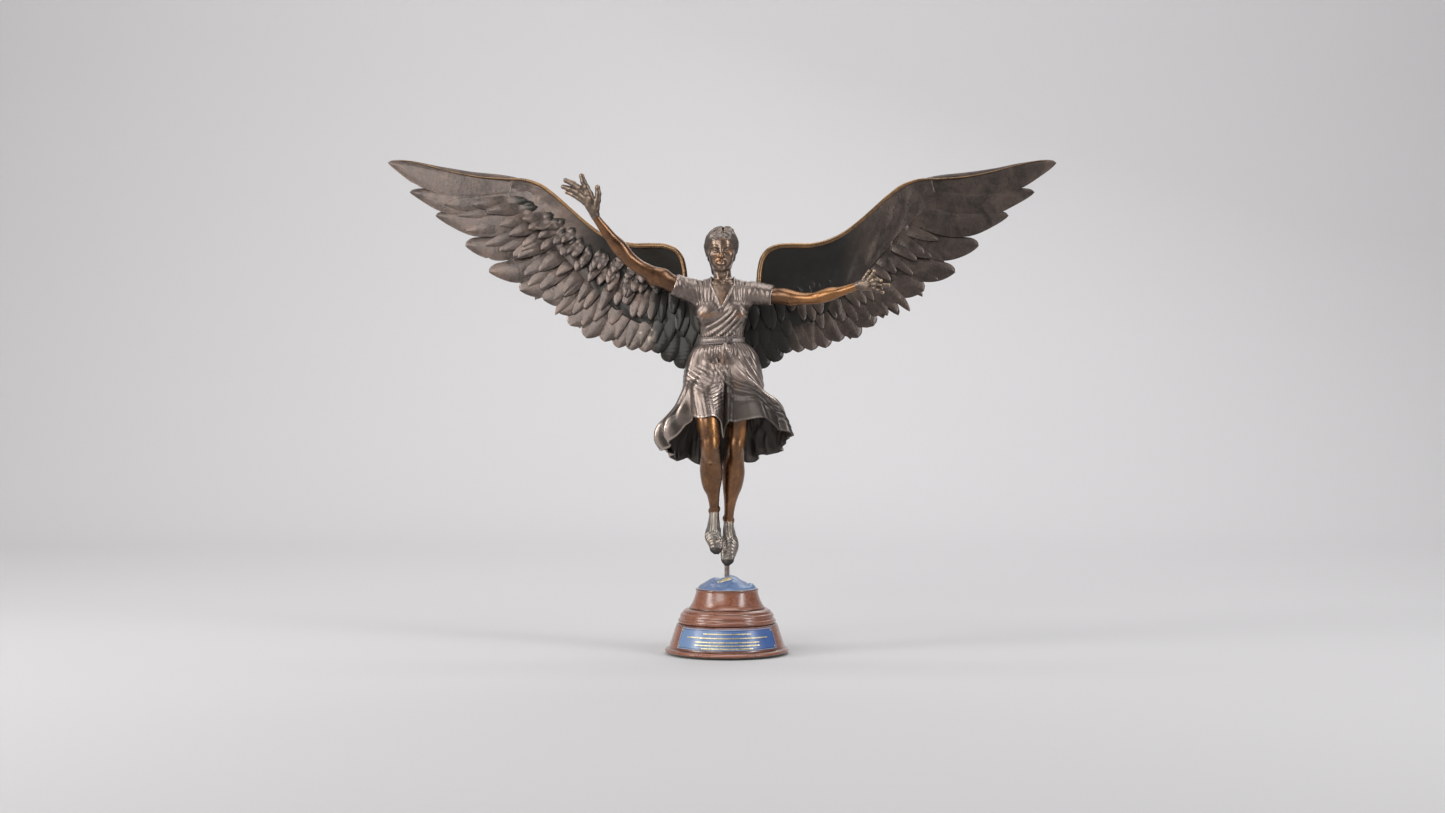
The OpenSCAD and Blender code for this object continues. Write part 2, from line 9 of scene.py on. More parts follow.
import bpy
import numpy as np
import openvdb
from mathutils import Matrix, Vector


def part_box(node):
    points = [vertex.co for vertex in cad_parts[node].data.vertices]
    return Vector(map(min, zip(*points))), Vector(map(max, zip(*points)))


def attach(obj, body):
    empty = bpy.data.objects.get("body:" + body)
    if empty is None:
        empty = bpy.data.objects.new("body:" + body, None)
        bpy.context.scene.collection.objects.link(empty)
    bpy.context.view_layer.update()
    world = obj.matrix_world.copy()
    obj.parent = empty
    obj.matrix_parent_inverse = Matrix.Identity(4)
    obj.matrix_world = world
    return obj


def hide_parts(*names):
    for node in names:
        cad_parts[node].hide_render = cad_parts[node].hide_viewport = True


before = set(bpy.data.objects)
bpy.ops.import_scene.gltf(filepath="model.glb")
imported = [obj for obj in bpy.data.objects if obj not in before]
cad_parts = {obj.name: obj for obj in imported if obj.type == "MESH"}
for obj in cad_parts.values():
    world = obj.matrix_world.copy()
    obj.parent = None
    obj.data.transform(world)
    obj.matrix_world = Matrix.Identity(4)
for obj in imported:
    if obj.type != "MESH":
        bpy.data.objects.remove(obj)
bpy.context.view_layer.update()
MM = 0.001
# Grid steps of the clay, in millimetres: finer where the form is smaller
LIMB_STEP = 0.5
BODICE_STEP = 0.4
FOOT_STEP = 0.36
HEAD_STEP = 0.33
HAIR_STEP = 0.32
HAND_STEP = 0.3


# ---------------------------------------------------------------- the frame's sizes
def corners(node):
    """Lowest and highest corner of a CAD node, in millimetres."""
    low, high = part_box(node)
    return np.array(low) / MM, np.array(high) / MM


def middle(node):
    low, high = corners(node)
    return (low + high) / 2


WAIST = middle("waist_belt")
FIGURE_X = WAIST[0]
WING_ROOT_Y = corners("wing_clamp")[0][1]


# ---------------------------------------------------------------- numbers and curves
def unit(v):
    v = np.asarray(v, float)
    return v / max(np.linalg.norm(v), 1e-9)


def ease(x, low, high):
    """0 before low, 1 after high, smooth between."""
    t = np.clip((x - low) / (high - low), 0, 1)
    return t * t * (3 - 2 * t)


def bell(x, middle_at, width):
    return np.exp(-(((x - middle_at) / width) ** 2))


def spline(points, count):
    """count rows along a smooth curve through points, whose first two or three columns are the place."""
    p = np.asarray(points, float)
    steps = np.linalg.norm(np.diff(p[:, :3], axis=0), axis=1)
    at = np.concatenate([[0], np.cumsum(steps)])
    slope = np.gradient(p, at, axis=0)
    t = np.linspace(0, at[-1], count)
    i = np.clip(np.searchsorted(at, t, "right") - 1, 0, len(at) - 2)
    h = (at[i + 1] - at[i])[:, None]
    s = (t - at[i])[:, None] / h
    start = (2 * s**3 - 3 * s**2 + 1) * p[i] + (s**3 - 2 * s**2 + s) * h * slope[i]
    end = (3 * s**2 - 2 * s**3) * p[i + 1] + (s**3 - s**2) * h * slope[i + 1]
    return start + end


def curve_at(points, x):
    """Values of a smooth curve given by rows [x, value, ...], rows in rising x."""
    p = np.asarray(points, float)
    at = p[:, 0]
    slope = np.gradient(p[:, 1:], at, axis=0)
    x = np.clip(x, at[0], at[-1])
    i = np.clip(np.searchsorted(at, x, "right") - 1, 0, len(at) - 2)
    h = (at[i + 1] - at[i])[..., None]
    s = ((x - at[i])[..., None]) / h
    start = (2 * s**3 - 3 * s**2 + 1) * p[i, 1:] + (s**3 - 2 * s**2 + s) * h * slope[i]
    end = (3 * s**2 - 2 * s**3) * p[i + 1, 1:] + (s**3 - s**2) * h * slope[i + 1]
    return start + end


LATTICE = np.random.RandomState(7).uniform(-1, 1, (32, 32, 32)).astype(np.float32)


def noise(x, y, z, size, shift=0.0):
    """Smooth noise from -1 to 1 whose bumps are about size across."""
    out = np.zeros(np.broadcast(x, y, z).shape, np.float32)
    cells, shares = [], []
    for v in (x, y, z):
        v = np.asarray(v, np.float32) / size + shift
        cell = np.floor(v).astype(int)
        s = (v - cell).astype(np.float32)
        cells.append(cell)
        shares.append(s * s * (3 - 2 * s))
    for i in (0, 1):
        for j in (0, 1):
            for k in (0, 1):
                weight = 1.0
                for side, s in zip((i, j, k), shares):
                    weight = weight * (s if side else 1 - s)
                out += weight * LATTICE[(cells[0] + i) % 32, (cells[1] + j) % 32, (cells[2] + k) % 32]
    return out


def rough_noise(x, y, z, size, shift=0.0):
    """Noise with a half-size and a quarter-size octave."""
    first = noise(x, y, z, size, shift)
    second = noise(x, y, z, size * 0.5, shift + 3.7)
    third = noise(x, y, z, size * 0.25, shift + 8.1)
    return first + 0.5 * second + 0.25 * third


# ---------------------------------------------------------------- meshes
def add_mesh(name, points, faces, marks=None, smooth=True):
    """A mesh object from points in millimetres and an array or list of faces. marks are vertex attributes."""
    mesh = bpy.data.meshes.new(name)
    if isinstance(faces, np.ndarray):
        count, sides = faces.shape
        mesh.vertices.add(len(points))
        mesh.vertices.foreach_set("co", (np.asarray(points) * MM).astype(np.float32).ravel())
        mesh.loops.add(count * sides)
        mesh.loops.foreach_set("vertex_index", faces.astype(np.int32).ravel())
        mesh.polygons.add(count)
        mesh.polygons.foreach_set("loop_start", np.arange(0, count * sides, sides, dtype=np.int32))
        mesh.update(calc_edges=True)
    else:
        mesh.from_pydata([tuple(np.array(p) * MM) for p in points], [], faces)
    mesh.validate()
    if smooth:
        mesh.shade_smooth()
    for key, values in (marks or {}).items():
        attribute = mesh.attributes.new(key, "FLOAT", "POINT")
        attribute.data.foreach_set("value", np.asarray(values, np.float32))
    obj = bpy.data.objects.new(name, mesh)
    bpy.context.scene.collection.objects.link(obj)
    return obj


def outward(points, faces):
    """faces, turned so that they face out of the solid."""
    p = points[faces]
    area = np.cross(p[:, 1] - p[:, 0], p[:, 2] - p[:, 0])
    area = area + np.cross(p[:, 2] - p[:, 0], p[:, -1] - p[:, 0])
    volume = (area * p.mean(1)).sum()
    return faces if volume > 0 else faces[:, ::-1]


def relax(points, faces, rounds, strength=0.5):
    """Evens out a mesh without shrinking it: each round smooths and then swells a little."""
    a = faces.ravel()
    b = np.roll(faces, -1, axis=1).ravel()
    degree = np.bincount(a, minlength=len(points)) + np.bincount(b, minlength=len(points))
    for step in [strength, -strength * 1.05] * rounds:
        total = np.zeros_like(points)
        for k in range(3):
            total[:, k] = (np.bincount(a, points[b, k], len(points))
                           + np.bincount(b, points[a, k], len(points)))
        points = points + step * (total / np.maximum(degree, 1)[:, None] - points)
    return points


def vertex_normals(points, faces):
    p = points[faces]
    normal = np.cross(p[:, 2] - p[:, 0], p[:, -1] - p[:, 1])
    out = np.zeros_like(points)
    for corner in range(faces.shape[1]):
        for k in range(3):
            out[:, k] += np.bincount(faces[:, corner], normal[:, k], len(points))
    return out / np.maximum(np.linalg.norm(out, axis=1), 1e-9)[:, None]


def wear_marks(points, faces, reach=6, scale=1.0):
    """Marks from 0 to 1: wear on what stands out, grime in what lies deep."""
    a = faces.ravel()
    b = np.roll(faces, -1, axis=1).ravel()
    degree = np.maximum(np.bincount(a, minlength=len(points)) + np.bincount(b, minlength=len(points)), 1)

    def average(v):
        return (np.bincount(a, v[b], len(points)) + np.bincount(b, v[a], len(points))) / degree

    normal = vertex_normals(points, faces)
    soft = points.copy()
    for _ in range(reach):
        soft = np.stack([average(soft[:, k]) for k in range(3)], axis=1)
    height = ((points - soft) * normal).sum(1)
    for _ in range(2):
        height = average(height)
    return {"wear": np.clip(height / (0.16 * scale), 0, 1), "grime": np.clip(-height / (0.2 * scale), 0, 1)}


def grid_faces(rows, columns, closed):
    """Quads over a rows x columns grid of points; closed joins the last column to the first."""
    r, c = np.meshgrid(np.arange(rows - 1), np.arange(columns - (0 if closed else 1)), indexing="ij")
    r, c = r.ravel(), c.ravel()
    right = (c + 1) % columns
    return np.stack([r * columns + c, r * columns + right, (r + 1) * columns + right,
                     (r + 1) * columns + c], 1)


# ---------------------------------------------------------------- clay
def soft_min(a, b, soft):
    if soft <= 0:
        return np.minimum(a, b)
    h = np.clip(0.5 + 0.5 * (b - a) / soft, 0, 1)
    return b + (a - b) * h - soft * h * (1 - h)


def turn(x, y, z, tilt):
    """The point turned by tilt degrees about x, y and z in turn."""
    for axis, degrees in enumerate(tilt):
        if degrees:
            c, s = math.cos(math.radians(degrees)), math.sin(math.radians(degrees))
            if axis == 0:
                y, z = c * y + s * z, c * z - s * y
            elif axis == 1:
                z, x = c * z + s * x, c * x - s * z
            else:
                x, y = c * x + s * y, c * y - s * x
    return x, y, z


def without_voids(points, faces):
    """The mesh without the sealed bubbles inside it, whose faces enclose a negative volume."""
    shell_of = np.arange(len(points))
    while True:
        merged = shell_of.copy()
        np.minimum.at(merged, faces.ravel(), np.repeat(shell_of[faces].min(1), faces.shape[1]))
        merged = merged[merged]
        if (merged == shell_of).all():
            break
        shell_of = merged
    p = points[faces]
    inside = np.einsum("ij,ij->i", p[:, 0], np.cross(p[:, 1] - p[:, 0], p[:, 2] - p[:, 0]))
    inside += np.einsum("ij,ij->i", p[:, 0], np.cross(p[:, 2] - p[:, 0], p[:, 3] - p[:, 0]))
    volume = np.bincount(shell_of[faces[:, 0]], inside, minlength=len(points))
    faces = faces[volume[shell_of[faces[:, 0]]] > 0]
    used, renumbered = np.unique(faces, return_inverse=True)
    return points[used], renumbered.reshape(faces.shape)


class Clay:
    """Signed distances on a grid, negative inside, which shapes are added to and cut from."""

    FAR = 5.0

    def __init__(self, low, high, step):
        self.step = step
        self.low = np.array(low, float)
        count = np.ceil((np.array(high, float) - self.low) / step).astype(int) + 1
        self.axes = [(self.low[i] + step * np.arange(count[i])).astype(np.float32) for i in range(3)]
        self.d = np.full(count, self.FAR, np.float32)

    def window(self, low, high):
        cut = tuple(
            slice(max(np.searchsorted(a, l) - 1, 0), np.searchsorted(a, h) + 1)
            for a, l, h in zip(self.axes, low, high))
        return cut, np.ix_(*[a[c] for a, c in zip(self.axes, cut)])

    def all(self):
        return np.ix_(*self.axes)

    def add(self, cut, shape, soft):
        self.d[cut] = soft_min(self.d[cut], shape, soft)

    def carve(self, cut, shape, soft):
        self.d[cut] = -soft_min(-self.d[cut], shape, soft)

    def egg(self, at, radii, soft=0.0, tilt=(0, 0, 0), hollow=False):
        """An ellipsoid, added, or cut away if hollow."""
        reach = max(radii) + soft + 1.5
        cut, (x, y, z) = self.window(np.array(at) - reach, np.array(at) + reach)
        x, y, z = turn(x - at[0], y - at[1], z - at[2], tilt)
        a, b, c = radii
        near = np.sqrt((x / a) ** 2 + (y / b) ** 2 + (z / c) ** 2)
        slope = np.sqrt((x / a**2) ** 2 + (y / b**2) ** 2 + (z / c**2) ** 2)
        shape = near * (near - 1) / np.maximum(slope, 1e-6)
        (self.carve if hollow else self.add)(cut, shape, soft)

    def tube(self, stations, soft=0.0, count=None, hollow=False):
        """A round limb along [x, y, z, r], added, or cut away if hollow."""
        s = spline(stations, count or 4 * len(stations)) if len(stations) > 2 else np.array(stations, float)
        reach = s[:, 3].max() + soft + 1.5
        outer, _ = self.window(s[:, :3].min(0) - reach, s[:, :3].max(0) + reach)
        shape = np.full(self.d[outer].shape, self.FAR, np.float32)
        start = [c.start for c in outer]
        for p, q in zip(s[:-1], s[1:]):
            near = max(p[3], q[3]) + soft + 1.5
            low, high = np.minimum(p, q)[:3] - near, np.maximum(p, q)[:3] + near
            cut, (x, y, z) = self.window(low, high)
            inner = tuple(slice(c.start - b, c.stop - b) for c, b in zip(cut, start))
            along = q[:3] - p[:3]
            t = (((x - p[0]) * along[0] + (y - p[1]) * along[1] + (z - p[2]) * along[2])
                 / max(along @ along, 1e-9))
            t = np.clip(t, 0, 1)
            gap = np.sqrt((x - p[0] - t * along[0]) ** 2 + (y - p[1] - t * along[1]) ** 2
                          + (z - p[2] - t * along[2]) ** 2)
            shape[inner] = np.minimum(shape[inner], gap - (p[3] + t * (q[3] - p[3])))
        (self.carve if hollow else self.add)(outer, shape, soft)

    def column(self, stations, soft=0.0):
        """An upright limb of oval sections [z, x, y, half-width, half-depth]."""
        s = np.asarray(stations, float)
        reach = s[:, 3:5].max() + soft + 3
        low = [s[:, 1].min() - reach, s[:, 2].min() - reach, s[0, 0] - 3]
        high = [s[:, 1].max() + reach, s[:, 2].max() + reach, s[-1, 0] + 3]
        cut, (x, y, z) = self.window(low, high)
        cx, cy, a, b = np.moveaxis(curve_at(s, z), -1, 0)
        x, y = x - cx, y - cy
        near = np.sqrt((x / a) ** 2 + (y / b) ** 2)
        slope = np.sqrt((x / a**2) ** 2 + (y / b**2) ** 2)
        shape = near * (near - 1) / np.maximum(slope, 1e-6)
        shape = np.maximum(shape, np.maximum(s[0, 0] - z, z - s[-1, 0]))
        self.add(cut, shape.astype(np.float32), soft)

    def raise_by(self, height, low=None, high=None):
        """Moves the surface out by height(x, y, z) millimetres."""
        if low is None:
            cut, grid = tuple(slice(None) for _ in range(3)), self.all()
        else:
            cut, grid = self.window(low, high)
        self.d[cut] -= np.broadcast_to(height(*grid), self.d[cut].shape).astype(np.float32)

    def mesh(self, rounds=2):
        """Points and outward quads of the clay's surface."""
        self.d[[0, -1]] = self.d[:, [0, -1]] = self.d[:, :, [0, -1]] = self.FAR
        grid = openvdb.FloatGrid(background=self.FAR)
        grid.copyFromArray(np.clip(self.d, -self.FAR, self.FAR))
        points, quads = grid.convertToQuads(isovalue=0.0)
        points = points.astype(float) * self.step + self.low
        points, quads = without_voids(points, outward(points, quads.astype(int)))
        return relax(points, quads, rounds), quads


def cast(name, clay, material, node=(), rounds=2, reach=6, scale=1.0, extra=None):
    """A casting from clay: meshed, marked for wear, painted, and standing for its CAD nodes."""
    points, quads = clay.mesh(rounds)
    marks = wear_marks(points, quads, reach, scale)
    marks["rub"] = np.zeros(len(points))
    if extra:
        marks = extra(points, marks)
    return place(add_mesh(name, points, quads, marks), material, node)


def place(obj, material, node=()):
    obj.data.materials.append(material)
    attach(obj, "root")
    if node:
        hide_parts(*node)
    return obj


# ---------------------------------------------------------------- materials
class Paint:
    """A material whose nodes are wired by short calls."""

    def __init__(self, name, **sockets):
        self.material = bpy.data.materials.new(name)
        self.material.use_nodes = True
        self.tree = self.material.node_tree
        self.shader = self.tree.nodes["Principled BSDF"]
        self.place = self.tree.nodes.new("ShaderNodeTexCoord").outputs["Object"]
        for key, value in sockets.items():
            self.shader.inputs[key.replace("_", " ")].default_value = value

    def link(self, value, socket):
        if isinstance(value, bpy.types.NodeSocket):
            self.tree.links.new(value, socket)
        elif isinstance(value, (tuple, list)) and len(value) == 3 and socket.type == "RGBA":
            socket.default_value = (*value, 1)
        else:
            socket.default_value = value

    def stretched(self, factors):
        node = self.tree.nodes.new("ShaderNodeVectorMath")
        node.operation = "MULTIPLY"
        self.link(self.place, node.inputs[0])
        node.inputs[1].default_value = factors
        return node.outputs[0]

    def noise(self, size, detail=3.0, rough=0.55, distortion=0.0, factors=None):
        """Noise from 0 to 1 with features about size millimetres across."""
        node = self.tree.nodes.new("ShaderNodeTexNoise")
        self.link(self.stretched(factors) if factors else self.place, node.inputs["Vector"])
        node.inputs["Scale"].default_value = 1 / (size * MM)
        node.inputs["Detail"].default_value = detail
        node.inputs["Roughness"].default_value = rough
        node.inputs["Distortion"].default_value = distortion
        return node.outputs["Fac"]

    def mark(self, name):
        node = self.tree.nodes.new("ShaderNodeAttribute")
        node.attribute_name = name
        return node.outputs["Fac"]

    def maths(self, operation, a, b, clamp=False):
        node = self.tree.nodes.new("ShaderNodeMath")
        node.operation = operation
        node.use_clamp = clamp
        self.link(a, node.inputs[0])
        self.link(b, node.inputs[1])
        return node.outputs[0]

    def span(self, value, low, high, to_low=0.0, to_high=1.0):
        node = self.tree.nodes.new("ShaderNodeMapRange")
        node.interpolation_type = "SMOOTHSTEP"
        self.link(value, node.inputs["Value"])
        for key, number in (("From Min", low), ("From Max", high), ("To Min", to_low), ("To Max", to_high)):
            node.inputs[key].default_value = number
        return node.outputs["Result"]

    def ramp(self, value, stops):
        node = self.tree.nodes.new("ShaderNodeValToRGB")
        elements = node.color_ramp.elements
        while len(elements) < len(stops):
            elements.new(0.5)
        for element, (at, colour) in zip(elements, stops):
            element.position = at
            element.color = (*colour, 1)
        self.link(value, node.inputs["Fac"])
        return node.outputs["Color"]

    def mix(self, share, a, b):
        node = self.tree.nodes.new("ShaderNodeMix")
        node.data_type = "RGBA"
        self.link(share, node.inputs["Factor"])
        self.link(a, node.inputs["A"])
        self.link(b, node.inputs["B"])
        return node.outputs["Result"]

    def bump(self, height, depth):
        """Bumps depth millimetres deep."""
        node = self.tree.nodes.new("ShaderNodeBump")
        node.inputs["Distance"].default_value = depth * MM
        self.link(height, node.inputs["Height"])
        self.link(node.outputs["Normal"], self.shader.inputs["Normal"])

    def finish(self, colour, roughness):
        self.link(colour, self.shader.inputs["Base Color"])
        self.link(roughness, self.shader.inputs["Roughness"])
        return self.material


RUBBED = (0.36, 0.165, 0.055)


def bronze(name, tones, rubbed, grime, gloss, wear_from=0.35, pits=0.12, patch=14.0, handled=RUBBED):
    """Patinated bronze: clouded tones, bright metal where hands rub it, dark wax in the hollows, painted
    shade where marked.
    """
    p = Paint(name, Metallic=0.88, Coat_Weight=0.28, Coat_Roughness=0.16, Specular_IOR_Level=0.6)
    clouds = p.noise(patch, 4, 0.6, 0.6)
    mottle = p.noise(2.2, 4, 0.65)
    mixed = p.maths("ADD", p.maths("MULTIPLY", clouds, 0.7), p.maths("MULTIPLY", mottle, 0.3))
    colour = p.ramp(mixed, [(0.3, tones[0]), (0.5, tones[1]), (0.7, tones[2])])
    wear = p.maths("ADD", p.mark("wear"), p.maths("MULTIPLY", p.maths("SUBTRACT", mottle, 0.5), 0.5))
    wear = p.span(wear, wear_from, wear_from + 0.5)
    # The hollows' dark-wax mark also holds the painted shade that some parts add, so this darkening is partly
    # painted shade.
    dirt_and_shade = p.maths("ADD", p.mark("grime"), p.maths("MULTIPLY", p.maths("SUBTRACT", clouds, 0.5), 0.3))
    dirt_and_shade = p.span(dirt_and_shade, 0.12, 0.75, 0, 0.9)
    rub = p.maths("ADD", p.mark("rub"), p.maths("MULTIPLY", p.maths("SUBTRACT", mixed, 0.5), 1.2))
    colour = p.mix(p.span(rub, 0.15, 0.8, 0, 0.85), colour, handled)
    colour = p.mix(dirt_and_shade, p.mix(wear, colour, rubbed), grime)
    roughness = p.span(mixed, 0.25, 0.75, gloss, gloss + 0.16)
    roughness = p.maths("ADD", roughness, p.maths("MULTIPLY", dirt_and_shade, 0.22))
    roughness = p.maths("SUBTRACT", roughness, p.maths("MULTIPLY", wear, 0.08), clamp=True)
    p.bump(p.maths("ADD", p.noise(1.1, 3, 0.6), p.noise(5.0, 2)), pits)
    return p.finish(colour, roughness)


def varnished_wood(name):
    """Reddish wood under gloss varnish, its grain lying across the base."""
    p = Paint(name, Coat_Weight=0.75, Coat_Roughness=0.22, Specular_IOR_Level=0.5)
    figure = p.noise(16, 3, 0.5, 1.5, (0.16, 1, 1))
    bands = p.maths("FRACT", p.maths("MULTIPLY", figure, 9), 0)
    bands = p.maths("MULTIPLY", bands, p.maths("SUBTRACT", 1.0, bands))
    pores = p.noise(0.7, 2, 0.5, 0, (0.05, 1, 1))
    mixed = p.maths("ADD", p.maths("MULTIPLY", bands, 1.5), p.maths("MULTIPLY", pores, 0.5))
    colour = p.ramp(mixed,
                    [(0.1, (0.1, 0.03, 0.018)), (0.45, (0.19, 0.066, 0.036)), (0.9, (0.29, 0.115, 0.058))])
    colour = p.mix(p.span(p.mark("grime"), 0.1, 0.8, 0, 0.75), colour, (0.04, 0.012, 0.008))
    colour = p.mix(p.span(p.mark("wear"), 0.3, 1, 0, 0.55), colour, (0.5, 0.19, 0.08))
    p.bump(p.maths("ADD", pores, p.noise(9, 2)), 0.06)
    return p.finish(colour, p.span(p.noise(12, 3), 0.3, 0.7, 0.24, 0.38))


def enamel(name, light, deep):
    """Blue enamel with worn edges, painted paler towards the figure's right as a reflection of the lamps."""
    p = Paint(name, Coat_Weight=0.35, Coat_Roughness=0.18, Metallic=0.0)
    split = p.tree.nodes.new("ShaderNodeSeparateXYZ")
    p.link(p.place, split.inputs[0])
    clouds = p.noise(9, 4, 0.6)
    # Painted lamp reflection: paler on the figure's right side, deeper blue on its left.
    across = p.maths("ADD", p.maths("MULTIPLY", split.outputs["X"], 11.0), p.maths("MULTIPLY", clouds, 0.45))
    colour = p.mix(p.span(across, -0.25, 0.55), light, deep)
    colour = p.mix(p.span(p.mark("wear"), 0.45, 1, 0, 0.6), colour, (0.33, 0.36, 0.42))
    colour = p.mix(p.span(p.mark("grime"), 0.2, 0.9, 0, 0.7), colour, (0.012, 0.02, 0.05))
    p.bump(p.noise(2.5, 4, 0.6), 0.05)
    return p.finish(colour, p.span(clouds, 0.3, 0.7, 0.3, 0.46))


def metal(name, tone, dark, gloss, size=1.2):
    p = Paint(name, Metallic=1.0)
    grain = p.noise(size, 3, 0.6, 0, (1, 1, 0.3))
    colour = p.mix(p.span(grain, 0.35, 0.7), tone, dark)
    p.bump(grain, 0.02)
    return p.finish(colour, p.span(p.noise(4, 3), 0.3, 0.7, gloss, gloss + 0.15))


def felt(name):
    p = Paint(name, Sheen_Weight=0.5, Sheen_Roughness=0.6)
    fuzz = p.noise(0.5, 4, 0.7)
    p.bump(fuzz, 0.25)
    return p.finish(p.mix(fuzz, (0.008, 0.016, 0.01), (0.03, 0.05, 0.035)), p.span(fuzz, 0.2, 0.8, 0.85, 1.0))


SKIN = bronze("bronze_skin", [(0.085, 0.042, 0.022), (0.17, 0.082, 0.038), (0.27, 0.135, 0.062)],
              (0.48, 0.29, 0.15), (0.026, 0.016, 0.011), 0.23, wear_from=0.5, pits=0.05)
DRESS = bronze("bronze_dress", [(0.1, 0.074, 0.062), (0.19, 0.15, 0.132), (0.29, 0.235, 0.205)],
               (0.36, 0.295, 0.255), (0.022, 0.019, 0.017), 0.27, wear_from=0.5)
SHOE = bronze("bronze_shoe", [(0.14, 0.12, 0.105), (0.25, 0.22, 0.195), (0.34, 0.3, 0.265)],
              (0.48, 0.38, 0.28), (0.03, 0.026, 0.024), 0.27)
FACE = bronze("bronze_face", [(0.12, 0.08, 0.058), (0.2, 0.14, 0.105), (0.3, 0.215, 0.165)],
              (0.42, 0.34, 0.27), (0.036, 0.026, 0.02), 0.27, wear_from=0.5, pits=0.04, patch=6.0)
HAND = bronze("bronze_hand", [(0.075, 0.06, 0.05), (0.15, 0.11, 0.085), (0.26, 0.18, 0.12)],
              (0.52, 0.38, 0.24), (0.025, 0.02, 0.017), 0.26, patch=5.0)
HAIR = bronze("bronze_hair", [(0.085, 0.066, 0.058), (0.16, 0.13, 0.112), (0.25, 0.205, 0.18)],
              (0.42, 0.3, 0.2), (0.014, 0.011, 0.01), 0.26, wear_from=0.4)
SASH = bronze("bronze_sash", [(0.06, 0.049, 0.046), (0.1, 0.082, 0.077), (0.155, 0.128, 0.12)],
              (0.23, 0.19, 0.175), (0.02, 0.017, 0.016), 0.42, wear_from=0.6)
WOOD = varnished_wood("varnished_wood")
PLATE = enamel("plate_enamel", (0.13, 0.21, 0.36), (0.045, 0.1, 0.28))
MOUND = enamel("mound_enamel", (0.095, 0.125, 0.225), (0.07, 0.14, 0.28))
GILT = metal("gilt", (0.58, 0.52, 0.34), (0.34, 0.3, 0.2), 0.42)
STEEL = metal("steel", (0.62, 0.62, 0.64), (0.4, 0.4, 0.42), 0.2)
IRON = metal("cast_iron", (0.1, 0.1, 0.1), (0.05, 0.05, 0.05), 0.55, 2.5)
FELT = felt("felt")
# Gilt for the painted highlight along the mound's wave.
HIGHLIGHT_GILT = metal("gilt_painted_highlight", (0.74, 0.62, 0.38), (0.5, 0.4, 0.2), 0.34)


# ---------------------------------------------------------------- wings
# A wing is worked out as (out, y, z): out from the figure's middle, y from the swept sheet of the wing.
EDGE = [[27.5, 292], [27.8, 301], [28.8, 310], [31, 318], [36, 324.8], [44, 328.6], [56, 329.8], [72, 330],
        [84, 332.6], [97, 338.4], [109, 347], [121.6, 358], [134.6, 369.6], [147.5, 379], [160, 383.2],
        [178, 384], [198, 385.6], [222, 390.2], [246, 396.4], [262, 399.2], [274, 397.6]]
# Flight feathers, outermost first: root, bend and tip, then how wide each is before and behind its shaft
FLIGHT = [
    [(158, 376), (215, 386), (274, 397.2), 5, 19], [(150, 370), (205, 368), (256, 373), 5, 17],
    [(142, 362), (190, 352.5), (234.5, 353.6), 5, 17], [(132, 352), (172, 333.5), (210, 329), 6, 15],
    [(122, 344), (156, 316), (190.6, 307), 6, 14], [(112, 337), (138, 304), (165, 292), 7, 13],
    [(104, 332), (124, 298), (145.5, 284), 8, 11], [(96, 328), (114, 290), (132, 273), 8, 10],
    [(88, 325), (104, 284), (123.6, 263), 8, 10], [(80, 322), (94, 278), (110.4, 253), 8, 9],
    [(73, 320), (84, 274), (95.4, 249.8), 8, 9], [(66, 320), (75, 270), (84, 244.6), 8, 9],
    [(59, 320), (66, 268), (73, 242.6), 8, 9], [(52, 319), (57, 264), (62, 241), 8, 9],
    [(45, 317), (48, 262), (51.6, 240), 8, 9], [(39, 308), (41, 258), (42, 233), 8, 9],
    [(33, 304), (32.4, 262), (31, 227.6), 8, 9], [(26, 300), (22, 264), (19, 238), 8, 9],
    [(18, 296), (13, 268), (10, 248), 7, 7]]


def wing_sweep(out):
    return WING_ROOT_Y - 3.5 + 0.16 * (out - 20) - 0.00022 * (out - 20) ** 2


def cup(share):
    """How far the wing's sheet lies back, at a share of the way from its leading edge to its tips."""
    return 3.4 * bell(share, 0.3, 0.26) - 0.6 * bell(share, 1.0, 0.3)


class Plumage:
    """Collects closed pieces given in wing space, and makes them one mesh."""

    def __init__(self):
        self.points, self.faces, self.wear, self.grime, self.count = [], [], [], [], 0

    def loft(self, rings, wear, grime):
        """A closed solid through rings of an even number of points: rings is rows x points x 3."""
        rows, around, _ = rings.shape
        faces = [grid_faces(rows, around, True)]
        j = np.arange(around // 2 - 1)
        cap = np.stack([j, j + 1, around - 2 - j, around - 1 - j], 1)
        faces += [cap[:, ::-1], cap + (rows - 1) * around]
        self.faces.append(np.concatenate(faces) + self.count)
        self.points.append(rings.reshape(-1, 3))
        self.wear.append(np.broadcast_to(wear, (rows, around)).ravel())
        self.grime.append(np.broadcast_to(grime, (rows, around)).ravel())
        self.count += rows * around

    def mesh(self, name, side):
        p = np.concatenate(self.points)
        world = np.stack([FIGURE_X + side * p[:, 0], p[:, 1] + wing_sweep(p[:, 0]), p[:, 2]], 1)
        faces = np.concatenate(self.faces)
        if side < 0:
            faces = faces[:, ::-1]
        specks = ease(rough_noise(p[:, 0], p[:, 1], p[:, 2], 4.5), 0.05, 0.5)
        specks = 0.85 * specks * bell(p[:, 0], 61, 8) * bell(p[:, 2], 264, 17) * (side < 0)
        specks = np.clip(specks * (1 - ease(p[:, 1], -1.5, 0.0)), 0, 1)
        marks = {"wear": np.concatenate(self.wear), "rub": specks,
                 "grime": np.concatenate(self.grime) * (1 - 0.8 * specks)}
        return add_mesh(name, world, faces, marks)


